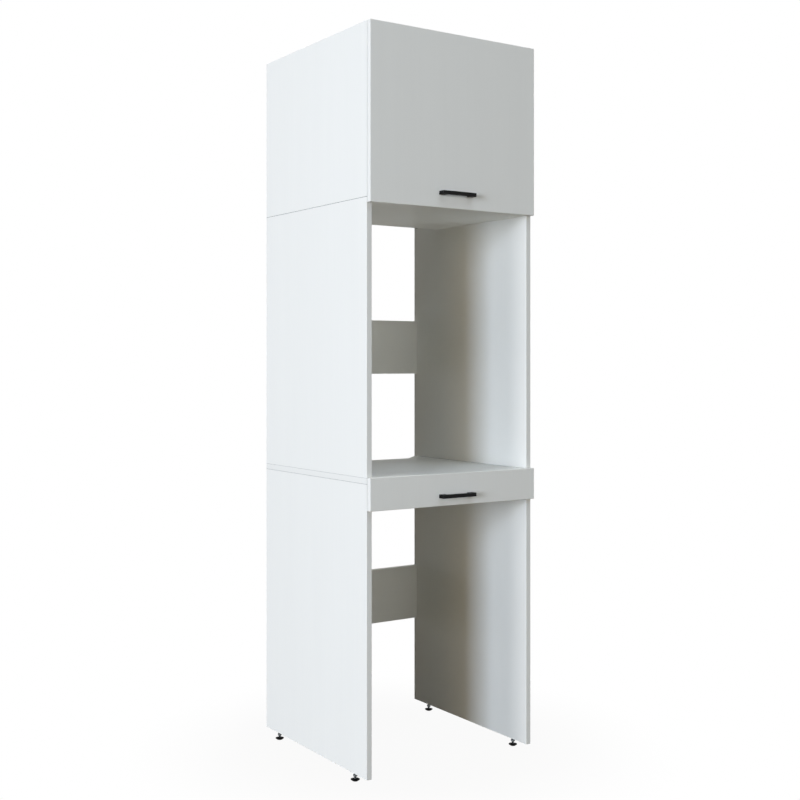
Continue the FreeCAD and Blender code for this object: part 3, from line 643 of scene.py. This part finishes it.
def ring(radius: float, thickness: float, turns: int = 48, sides: int = 10) -> Surface:
    """Makes a wire ring round the Z axis: a circle of half the thickness carried round a larger circle.

    Args:
        radius: The ring's radius to the middle of its wire.
        thickness: The wire's diameter.
        turns: The number of columns round the ring.
        sides: The number of rows round the wire.

    Returns:
        The closed surface.
    """
    angles = around(sides)
    radii = radius + thickness / 2 * np.cos(angles)
    return Surface.from_grid(spun(radii, thickness / 2 * np.sin(angles), turns), looped=True)


@dataclass(frozen=True)
class CrossHead:
    """A round head with a cross-shaped recess, on a plain shank. It stands on its own Z axis.

    Attributes:
        radius: The head's radius, in millimetres as all its lengths are.
        height: How far the head stands above its seat.
        dome: How far the head's rim lies below its crown.
        depth: The recess's depth.
        shank: The shank's radius.
        length: The shank's length below the seat.
        arm: The half width of the cross's arms, as a share of the head's radius.
        reach: The reach of its arms, as such a share.
        rim: Where a raised rim starts, as such a share, or nought for none.
        rim_rise: How far that rim stands above the face.
        slope: The width of the slopes beside the arms and at the rim, as such a share.
        end_slope: The width of the slope at an arm's end, as such a share.
        rows: The head's rows of points.
        turns: Its columns of points.
    """

    radius: float
    height: float
    dome: float
    depth: float
    shank: float = 0.0
    length: float = 0.0
    arm: float = 0.14
    reach: float = 0.62
    rim: float = 0.0
    rim_rise: float = 0.3
    slope: float = 0.08
    end_slope: float = 0.12
    rows: int = 16
    turns: int = 48

    def surface(self) -> Surface:
        """Works out the head and its shank.

        At share s of the radius, the head's height is the crown less the dome times s squared, less the
        depth wherever the lesser of |x| and |y| is within an arm and the greater within its reach. From
        the rim the profile drops to the seat, comes in to the shank and ends in its tip.

        Returns:
            The closed surface.
        """
        share = np.linspace(0.0, 1.0, self.rows)[:, None]
        across = np.abs(share * np.cos(around(self.turns)))
        along = np.abs(share * np.sin(around(self.turns)))
        cross = inside(np.minimum(across, along), self.arm, self.slope)
        cross = cross * inside(np.maximum(across, along), self.reach, self.end_slope)
        heights = self.height - self.dome * share**2 - self.depth * cross
        if self.rim:
            heights = heights - self.rim_rise * inside(share, self.rim, self.slope)
        head = spun(share * self.radius, heights, self.turns)
        radii = np.array([self.radius, self.shank, self.shank, 0.0])
        levels = np.array([0.0, 0.0, -self.length, -self.length])
        return Surface.from_grid(np.vstack([head, spun(radii, levels, self.turns)]))


class Dresser:
    """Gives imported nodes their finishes, and adds pieces to them."""

    def make(self, name: str, surface: Surface, finish: Finish, body: str, slot: str, *nodes: str) -> None:
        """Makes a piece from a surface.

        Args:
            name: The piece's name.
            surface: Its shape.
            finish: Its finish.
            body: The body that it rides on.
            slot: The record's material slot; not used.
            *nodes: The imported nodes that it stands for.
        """
        mesh = bpy.data.meshes.new(name)
        mesh.from_pydata((surface.points * MM).tolist(), [], surface.faces.tolist())
        shape = bmesh.new()
        shape.from_mesh(mesh)
        bmesh.ops.remove_doubles(shape, verts=shape.verts, dist=WELD)
        bmesh.ops.recalc_face_normals(shape, faces=shape.faces)
        shape.to_mesh(mesh)
        shape.free()
        mesh.shade_smooth()
        mesh.set_sharp_from_angle(angle=SHARP)
        mesh.materials.append(finish.material())
        piece = add_object(name, mesh)
        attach(piece, body)
        if nodes:
            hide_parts(*nodes)
        log.info("%s: %d faces, %s", name, len(mesh.polygons), finish.name)

    def dress(self, finish: Finish, *names: str) -> None:
        """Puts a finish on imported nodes.

        Args:
            finish: The finish.
            *names: The nodes.
        """
        for name in names:
            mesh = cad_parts[name].data
            mesh.materials.clear()
            mesh.materials.append(finish.material())
            log.info("%s: %s", name, finish.name)

    def both(self, finish: Finish, *stems: str) -> None:
        """Puts a finish on the left and right nodes of each stem."""
        self.dress(finish, *[f"{stem}_{side.word}" for stem in stems for side in Side])


@dataclass
class Carcass(Dresser):
    """The boards that stand still, and the fittings that hold them together.

    Attributes:
        cam: A cam lock.
        cam_sink: How far its face lies below the board's, in millimetres as all its lengths are.
        cam_reach: How far a cam is from the board end that it draws up.
        inset: How far the cams are from a board's front and back edges.
        rail_inset: How far they are from a rail's long edges.
        pad_rise: How far a bumper pad is above the lower edge of the board in front of it.
        pad_shoulder: The height of a pad's straight rim, as a share of the pad's.
        pad_rows: The rows of points from a pad's rim to its crown.
        pad_turns: The columns of points round a pad.
    """

    cam: CrossHead = CrossHead(7.5, 12.3, 0.0, 2.2, arm=0.12, reach=0.5, rim=0.84)
    cam_sink: float = 0.2
    cam_reach: float = 34.0
    inset: float = 60.0
    rail_inset: float = 40.0
    pad_rise: float = 18.0
    pad_shoulder: float = 0.45
    pad_rows: int = 9
    pad_turns: int = 32

    def build(self) -> None:
        """Dresses the boards and their fittings."""
        self.both(SIDE_BOARD, "lower_side", "middle_side", "top_side")
        self.dress(CROSS_BOARD, "shelf", "cabinet_floor", "cabinet_top")
        self.dress(RAIL_BOARD, "lower_rail", "middle_rail")
        self.dress(HARDBOARD, "cabinet_back")
        self.dress(ZINC, "cam_bolts", "shelf_screws", "foot_inserts")
        self.dress(BEECH, "dowels")
        self.make_cams()
        self.make_pads()

    def make_cams(self) -> None:
        """Sets a cam lock into every hole for one: the drum goes in, and its recessed face shows."""
        drum = self.cam.surface()
        depth = self.cam.height + self.cam_sink
        groups = []
        for rail in ("lower_rail", "middle_rail"):
            corners = box(rail)
            columns = near_ends(corners, Axis.ACROSS, self.cam_reach)
            rows = near_ends(corners, Axis.UP, self.rail_inset)
            groups.append(drum.placed(lattice(columns, [corners[1][1] - depth], rows), BACKWARD))
        for board in ("cabinet_floor", "cabinet_top"):
            corners = box(board)
            columns = near_ends(corners, Axis.ACROSS, self.cam_reach)
            rows = near_ends(corners, Axis.DEEP, self.inset)
            groups.append(drum.placed(lattice(columns, rows, [corners[1][2] - depth])))
        for side in Side:
            corners = box(f"lower_side_{side.word}")
            face = Side(-side.value).outer(corners) + depth * side.value
            rows = near_ends(corners, Axis.DEEP, self.inset)
            places = lattice([face], rows, [corners[1][2] - self.cam_reach])
            groups.append(drum.placed(places, side.inward))
        self.make("cam_drums", Surface.joined(*groups), ZINC_CASTING, "carcass", "zinc_cast", "cam_locks")

    def make_pads(self) -> None:
        """Sticks a pad behind the lower corners of each front: a straight rim and a quarter ellipse, spun."""
        low, high = box("bumper_pads")
        across = middle_of("lower_side_right")[0]
        radius = high[0] - across
        swing = np.linspace(math.pi / 2, 0.0, self.pad_rows)
        rises = self.pad_shoulder + (1 - self.pad_shoulder) * np.sin(swing)
        radii = np.append(radius * np.cos(swing), (radius, 0.0))
        heights = np.append((high[1] - low[1]) * rises, (0.0, 0.0))
        dome = Surface.from_grid(spun(radii, heights, self.pad_turns))
        # The flap covers the front edge of the cabinet's floor, so its pads are higher by that board
        floor_low, floor_high = box("cabinet_floor")
        flap_level = box("flap_door")[0][2] + floor_high[2] - floor_low[2]
        levels = np.array([flap_level, box("drawer_front")[0][2]]) + self.pad_rise
        pads = dome.placed(lattice((-across, across), [high[1]], levels), FORWARD)
        self.make("bumper_domes", pads, SILICONE, "carcass", "clear_pad", "bumper_pads")


@dataclass
class LevellingFeet(Dresser):
    """The four feet.

    Attributes:
        ends: Which ends of the sides have a foot.
        stem: The stem's radius, in millimetres as all its lengths are.
        pitch: The thread's pitch.
        thread: The thread's depth.
        flats: The nut's width across its flats.
        nut_rise: How far the nut is above the foot's base.
        nut_height: The nut's height.
    """

    ends: tuple[str, ...] = ("front", "back")
    stem: float = 4.0
    pitch: float = 1.25
    thread: float = 0.65
    flats: float = 13.0
    nut_rise: float = 6.5
    nut_height: float = 6.5

    def build(self) -> None:
        """Dresses each foot's base and makes its stem."""
        for end in self.ends:
            self.both(BLACK_NYLON, f"foot_base_{end}")
            for side in Side:
                self.make_stem(f"{end}_{side.word}")

    def make_stem(self, foot: str) -> None:
        """Makes a threaded stem with its nut, in place of a foot's plain one.

        Args:
            foot: The foot's end and side, as the model's nodes spell them.
        """
        plain = f"foot_stem_{foot}"
        low, high = box(plain)
        base = box(f"foot_base_{foot}")[1][2]
        whole = Surface.joined(self.threaded(low[2], high[2]), self.nut(base + self.nut_rise))
        placed = whole.placed(middle_of(plain) * (1.0, 1.0, 0.0))
        # The stems take the zinc that is darkened as painted shade
        self.make(f"foot_thread_{foot}", placed, SHADED_ZINC, f"foot_{foot}", "zinc_steel", plain)

    def threaded(self, bottom: float, top: float, turns: int = 24, steps: int = 8) -> Surface:
        """Works out a threaded rod.

        Its radius falls from crest to root and back as height over pitch, less the share of a turn, goes
        from one whole number to the next.

        Args:
            bottom: The height of its lower end.
            top: The height of its upper end.
            turns: The number of columns.
            steps: The number of rows in a pitch.

        Returns:
            The closed surface.
        """
        heights = np.linspace(bottom, top, int((top - bottom) / self.pitch * steps))
        phase = heights[:, None] / self.pitch - around(turns) / math.tau
        radii = self.stem - self.thread * np.abs(phase % 1.0 * 2.0 - 1.0)
        ends = np.zeros((1, turns))
        radii = np.vstack([ends, radii, ends])
        return Surface.from_grid(spun(radii, np.concatenate([[bottom], heights, [top]]), turns))

    def nut(self, bottom: float, turns: int = 72, steps: int = 14) -> Surface:
        """Works out a hexagon nut.

        Its radius is half its flats over the cosine of the angle from the nearest flat's middle, but no
        more than a cone allows, which starts at half the flats at either face and widens by 60 degrees.

        Args:
            bottom: The height of its lower face.
            turns: The number of columns.
            steps: The number of rows up its flats.

        Returns:
            The closed surface.
        """
        half = self.flats / 2
        sixth = math.tau / 6
        rises = self.nut_height * (1 - np.cos(np.linspace(0.0, math.pi, steps))) / 2
        cone = half + np.minimum(rises, self.nut_height - rises) * math.sqrt(3)
        hexagon = half / np.cos(around(turns) % sixth - sixth / 2)
        outside = np.minimum(hexagon[None, :], cone[:, None])
        bore = np.full((1, turns), self.stem - self.thread / 2)
        heights = bottom + np.concatenate([rises[:1], rises, rises[-1:]])
        return Surface.from_grid(spun(np.vstack([bore, outside, bore]), heights, turns), looped=True)


@dataclass
class HandledFront(Dresser):
    """A front with a bow handle.

    Attributes:
        handle_screw: A screw of the handle.
        handle_pitch: How far apart the handle's screws are, in millimetres.
    """

    handle_screw: CrossHead = CrossHead(4.0, 2.5, 0.9, 1.4, 2.0, 30.0)
    handle_pitch: float = 111.0

    def make_handle_screws(self, body: str, board: str) -> None:
        """Puts the handle's screws through the front from behind.

        Args:
            body: The front's body, which its handle is named for.
            board: The board that the screws' heads lie on.
        """
        handle = f"{body}_handle"
        seat = box(board)[1][1]
        places = lattice(apart(0.0, self.handle_pitch), [seat], [middle_of(handle)[2]])
        screws = self.handle_screw.surface().placed(places, BACKWARD)
        self.make(f"{body}_pan_screws", screws, ZINC, body, "zinc_screw", f"{handle}_screws")


@dataclass
class Flap(HandledFront):
    """The lift-up flap with its handle, hinges and gas struts.

    Attributes:
        board_screw: A screw that holds a hinge or a bracket to a board.
        flush_screw: A flat screw where a strut passes close by.
        arm_screw: An adjusting screw in a hinge arm.
        ear_pitch: How far apart the screws in a hinge cup's ears are, in millimetres as all its lengths are.
        ear_rise: How far those screws are above the cup's lowest point.
        wing_pitch: How far apart the screws in a hinge plate's wings are.
        wing: The wings' thickness.
        arm_setbacks: How far the adjusting screws are from the arm's rear end.
        bracket: The thickness of a strut's brackets.
        bracket_pitch: How far apart the screws in a side bracket are.
        foot_reaches: How far the screws in a flap bracket are from its lug.
        strut_lean: The strut's direction.
        strut_length: The strut's length between its sockets.
        tube: The strut tube's radius.
        bead: The thickness of the beads that hold the tube's seal.
        bead_places: How far up the strut those beads are.
        socket: The radius of the sockets at the strut's ends.
        clip: The thickness of the spring clips round the sockets.
    """

    board_screw: CrossHead = CrossHead(3.4, 1.3, 0.6, 0.8)
    flush_screw: CrossHead = CrossHead(3.2, 0.3, 0.1, 0.2)
    arm_screw: CrossHead = CrossHead(2.8, 0.7, 0.15, 0.45)
    ear_pitch: float = 48.0
    ear_rise: float = 11.5
    wing_pitch: float = 36.0
    wing: float = 2.0
    arm_setbacks: Floats = (10.0, 28.0)
    bracket: float = 2.0
    bracket_pitch: float = 29.0
    foot_reaches: Floats = (9.0, 20.0)
    strut_lean: Triple = (0.0, -0.396583, 0.917999)
    strut_length: float = 221.896
    tube: float = 7.5
    bead: float = 1.0
    bead_places: Floats = (188.0, 193.5)
    socket: float = 6.5
    clip: float = 1.4

    def build(self) -> None:
        """Dresses the flap and what carries it."""
        self.dress(FRONT_BOARD, "flap_door")
        self.dress(BLACK_COAT, "flap_handle")
        self.both(NICKEL, "hinge_cup", "hinge_arm", "hinge_plate", "hinge_pin")
        self.both(NICKEL, "strut_side_bracket", "strut_flap_bracket")
        self.both(GREY_TUBE, "strut_tube")
        self.both(CHROME, "strut_rod")
        self.make_handle_screws("flap", "flap_door")
        for side in Side:
            self.make_hinge_screws(side)
            self.make_bracket_screws(side)
            self.make_strut_trim(side)

    def make_hinge_screws(self, side: Side) -> None:
        """Screws a hinge's cup to the flap and its plate to the cabinet top, and adds its adjusters.

        Args:
            side: The hinge's side.
        """
        screw = self.board_screw.surface()
        low, high = box(f"hinge_cup_{side.word}")
        middle = (low[0] + high[0]) / 2
        ears = lattice(apart(middle, self.ear_pitch), [high[1]], [low[2] + self.ear_rise])
        heads = screw.placed(ears, BACKWARD)
        self.make(f"hinge_cup_screws_{side.word}", heads, NICKEL, "flap", "nickel_steel")
        low, high = box(f"hinge_plate_{side.word}")
        wings = lattice(apart(middle, self.wing_pitch), [(low[1] + high[1]) / 2], [high[2] - self.wing])
        low, high = box(f"hinge_arm_{side.word}")
        adjusters = lattice([middle], high[1] - np.array(self.arm_setbacks), [low[2]])
        heads = Surface.joined(screw.placed(wings, DOWN), self.arm_screw.surface().placed(adjusters, DOWN))
        self.make(f"hinge_plate_screws_{side.word}", heads, NICKEL, "carcass", "nickel_steel")

    def make_bracket_screws(self, side: Side) -> None:
        """Screws a strut's brackets to the side board and to the flap.

        Args:
            side: The strut's side.
        """
        bracket = f"strut_side_bracket_{side.word}"
        middle = middle_of(bracket)
        face = side.outer(box(bracket)) - self.bracket * side.value
        places = lattice([face], [middle[1]], apart(middle[2], self.bracket_pitch))
        heads = self.flush_screw.surface().placed(places, side.inward)
        self.make(f"strut_side_screws_{side.word}", heads, NICKEL, "carcass", "nickel_steel")
        bracket = f"strut_flap_bracket_{side.word}"
        columns = side.outer(box(bracket)) - np.array(self.foot_reaches) * side.value
        face = box(bracket)[0][1] + self.bracket
        heads = self.board_screw.surface().placed(lattice(columns, [face], [middle_of(bracket)[2]]), BACKWARD)
        self.make(f"strut_flap_screws_{side.word}", heads, NICKEL, "flap", "nickel_steel")

    def make_strut_trim(self, side: Side) -> None:
        """Rolls two beads round a strut's tube and puts a spring clip round each of its sockets.

        Args:
            side: The strut's side.
        """
        tube = f"strut_tube_{side.word}"
        foot = middle_of(f"strut_side_bracket_{side.word}")
        foot[0] = middle_of(tube)[0]
        lean = np.array(self.strut_lean)
        beads = ring(self.tube, self.bead).placed(foot + np.outer(self.bead_places, lean), lean)
        self.make(f"strut_beads_{side.word}", beads, GREY_TUBE, tube, "grey_tube")
        clip = ring(self.socket, self.clip)
        for body, reach in ((tube, 0.0), (f"strut_rod_{side.word}", self.strut_length)):
            wire = clip.placed(foot + reach * lean, RIGHTWARD)
            self.make(f"{body}_clip", wire, CHROME, body, "chrome_rod")


@dataclass
class Drawer(HandledFront):
    """The shallow drawer with its handle and runners.

    Attributes:
        runner_screw: A flat screw that holds a runner to the side board.
        runner_metal: The runners' sheet thickness, in millimetres.
        runner_rows: How far the runner's screws are from its front end, in millimetres.
    """

    handle_screw: CrossHead = CrossHead(4.0, 2.5, 0.9, 1.4, 2.0, 42.0)
    runner_screw: CrossHead = CrossHead(3.2, 0.2, 0.08, 0.12)
    runner_metal: float = 1.2
    runner_rows: Floats = (35.0, 227.0, 451.0)

    def build(self) -> None:
        """Dresses the drawer and its runners."""
        self.dress(FRONT_BOARD, "drawer_front")
        self.dress(RAIL_BOARD, "drawer_box_front", "drawer_back")
        self.both(DRAWER_SIDE_BOARD, "drawer_side")
        self.dress(HARDBOARD, "drawer_bottom")
        self.dress(BLACK_COAT, "drawer_handle")
        self.both(ZINC, "runner_cabinet", "runner_middle", "runner_drawer")
        self.make_handle_screws("drawer", "drawer_box_front")
        for side in Side:
            self.make_runner_screws(side)

    def make_runner_screws(self, side: Side) -> None:
        """Screws a runner's outer channel to the side board, with heads that its next channel clears.

        Args:
            side: The runner's side.
        """
        runner = f"runner_cabinet_{side.word}"
        corners = box(runner)
        face = side.outer(corners) - self.runner_metal * side.value
        rows = corners[0][1] + np.array(self.runner_rows)
        places = lattice([face], rows, [middle_of(runner)[2]])
        heads = self.runner_screw.surface().placed(places, side.inward)
        self.make(f"runner_screws_{side.word}", heads, ZINC, "carcass", "zinc_screw")


@dataclass(frozen=True)
class SoftLamp:
    """A lamp behind a rectangle of diffusing cloth.

    Attributes:
        name: The lamp's name.
        place: Where it hangs, in metres.
        size: Its width and height.
        power: Its power in watts.
        colour: Its sRGB colour.
        mirrored: Whether shiny surfaces mirror it.
        aim: What it points at, the tower's middle.
    """

    name: str
    place: Triple
    size: Pair
    power: float
    colour: str
    mirrored: bool = True
    aim: Triple = (0.0, 0.0, 1.2)

    def hang(self) -> None:
        """Adds the lamp to the scene."""
        lamp = bpy.data.lights.new(self.name, "AREA")
        lamp.shape = "RECTANGLE"
        lamp.size, lamp.size_y = self.size
        lamp.energy = self.power
        lamp.color = linear(self.colour)[:3]
        held = add_object(self.name, lamp)
        held.visible_glossy = self.mirrored
        held.location = self.place
        away = np.subtract(self.place, self.aim)
        tilt = math.atan2(math.hypot(away[0], away[1]), away[2])
        held.rotation_euler = (tilt, 0.0, math.atan2(away[0], -away[1]))


@dataclass
class Studio:
    """The plain pale set: floor, light and camera.

    Attributes:
        floor_reach: Half the floor's width, in metres.
        camera_place: Where the camera stands, in metres.
        yaw: How far the camera looks to the right of straight ahead, in degrees.
        lens: Its focal length, in millimetres.
        sensor: Its sensor's width, in millimetres.
        lift: The vertical shift that frames the tower.
        lamps: The soft lamps: three to the left, a steep and a low one far in front, which keep the
            handles' shadows soft, and three for the right, the back and the top.
        sky_colour: The sky's sRGB colour in the light that it sends.
        fill: The sky's strength on the tower.
        floor_colour: The floor's sRGB colour in the light that it sends back.
        glow: How far the floor under the tower shows plain white rather than the light on it.
        pool: Where the floor starts to fade to plain white and where it ends, in metres from the middle.
    """

    floor_reach: float = 30.0
    camera_place: Triple = (-2.3160, -3.48215, 1.3185)
    yaw: float = 33.68
    lens: float = 54.49
    sensor: float = 36.0
    lift: float = -0.0473
    lamps: tuple[SoftLamp, ...] = (
        SoftLamp("Side", (-12.27, -0.86, 2.4), (2.6, 4.5), 586.0, "#FAFAFF"),
        SoftLamp("Window", (-11.24, -5.0, 2.4), (2.6, 4.5), 1005.0, "#DBEAFF"),
        SoftLamp("Warm", (-10.2, -6.88, 2.4), (2.6, 4.5), 165.0, "#FFE5BC"),
        SoftLamp("Steep", (0.6, -14.0, 24.0), (30.0, 16.0), 2000.0, "#E0EEFF"),
        SoftLamp("Low", (0.6, -27.5, 5.0), (30.0, 6.0), 1230.0, "#FEFEFA"),
        SoftLamp("Right", (9.0, 0.0, 1.4), (3.0, 2.0), 560.0, "#F6F9FF"),
        SoftLamp("Rear", (0.0, 7.0, 0.5), (0.6, 0.8), 160.0, "#F6F9FF", mirrored=False),
        SoftLamp("Top", (0.0, -0.6, 9.5), (1.6, 1.6), 220.0, "#FFFFFF"),
    )
    sky_colour: str = "#FFFAEC"
    fill: float = 0.06
    floor_colour: str = "#60543A"
    glow: float = 0.95
    pool: Pair = (0.35, 1.0)

    def build(self) -> None:
        """Makes the set."""
        bpy.context.scene.view_settings.view_transform = "Standard"
        self.make_world()
        self.make_floor()
        for lamp in self.lamps:
            lamp.hang()
        self.make_camera()

    def seen(self, tree: Tree) -> Socket:
        """Marks the rays that show the set itself: straight, mirrored or through glass.

        Args:
            tree: The tree of the set's material or sky.

        Returns:
            One for such rays and nought for the others.
        """
        path = add_node(tree, "ShaderNodeLightPath")
        shown = path.outputs["Is Camera Ray"]
        for ray in ("Is Glossy Ray", "Is Transmission Ray"):
            sockets = {0: shown, 1: path.outputs[ray]}
            shown = add_node(tree, "ShaderNodeMath", {"operation": "MAXIMUM"}, sockets).outputs[0]
        return shown

    def make_world(self) -> None:
        """Makes a sky that shows white and lights the tower softly."""
        world = bpy.data.worlds.new("Studio sky")
        world.use_nodes = True
        bpy.context.scene.world = world
        tree = world.node_tree
        tree.nodes.clear()
        sky = {"Color": linear(self.sky_colour), "Strength": self.fill}
        soft = add_node(tree, "ShaderNodeBackground", sky).outputs[0]
        white = add_node(tree, "ShaderNodeBackground", PLAIN_WHITE).outputs[0]
        mix = add_node(tree, "ShaderNodeMixShader", links={0: self.seen(tree), 1: soft, 2: white})
        add_node(tree, "ShaderNodeOutputWorld", links={0: mix.outputs[0]})

    def make_floor(self) -> None:
        """Makes a pale floor that keeps a faint shadow of the tower."""
        mesh = bpy.data.meshes.new("Floor")
        corners = np.array([(-1, -1, 0), (1, -1, 0), (1, 1, 0), (-1, 1, 0)]) * self.floor_reach
        mesh.from_pydata(corners.tolist(), [], [(0, 1, 2, 3)])
        floor = add_object("Floor", mesh)
        material = bpy.data.materials.new("Pale studio floor")
        material.use_nodes = True
        tree = material.node_tree
        tree.nodes.clear()
        matt = add_node(tree, "ShaderNodeBsdfDiffuse", {"Color": linear(self.floor_colour)}).outputs[0]
        white = add_node(tree, "ShaderNodeEmission", PLAIN_WHITE).outputs[0]
        place = add_node(tree, "ShaderNodeTexCoord")
        away = add_node(tree, "ShaderNodeVectorMath", {"operation": "LENGTH"}, {0: place.outputs["Object"]})
        ease = {"interpolation_type": "SMOOTHSTEP", "To Min": self.glow}
        ends = dict(zip(("From Min", "From Max"), self.pool))
        fade = add_node(tree, "ShaderNodeMapRange", {**ease, **ends}, {"Value": away.outputs["Value"]})
        factors = {0: self.seen(tree), 1: fade.outputs["Result"]}
        share = add_node(tree, "ShaderNodeMath", {"operation": "MULTIPLY"}, factors).outputs[0]
        mix = add_node(tree, "ShaderNodeMixShader", links={0: share, 1: matt, 2: white})
        add_node(tree, "ShaderNodeOutputMaterial", links={0: mix.outputs[0]})
        mesh.materials.append(material)

    def make_camera(self) -> None:
        """Sets the level camera up at the photograph's viewing angle."""
        data = bpy.data.cameras.new("Camera")
        data.lens = self.lens
        data.sensor_width = self.sensor
        data.shift_y = self.lift
        camera = add_object("Camera", data)
        camera.location = self.camera_place
        camera.rotation_euler = (math.radians(90), 0.0, -math.radians(self.yaw))
        bpy.context.scene.camera = camera


def main() -> None:
    """Builds the sub-assemblies in order, then the set round them."""
    logging.basicConfig(level=logging.INFO, format="%(message)s")
    for whole in (Carcass(), LevellingFeet(), Flap(), Drawer(), Studio()):
        log.info("Building %s", type(whole).__name__)
        whole.build()


if __name__ == "__main__":
    main()
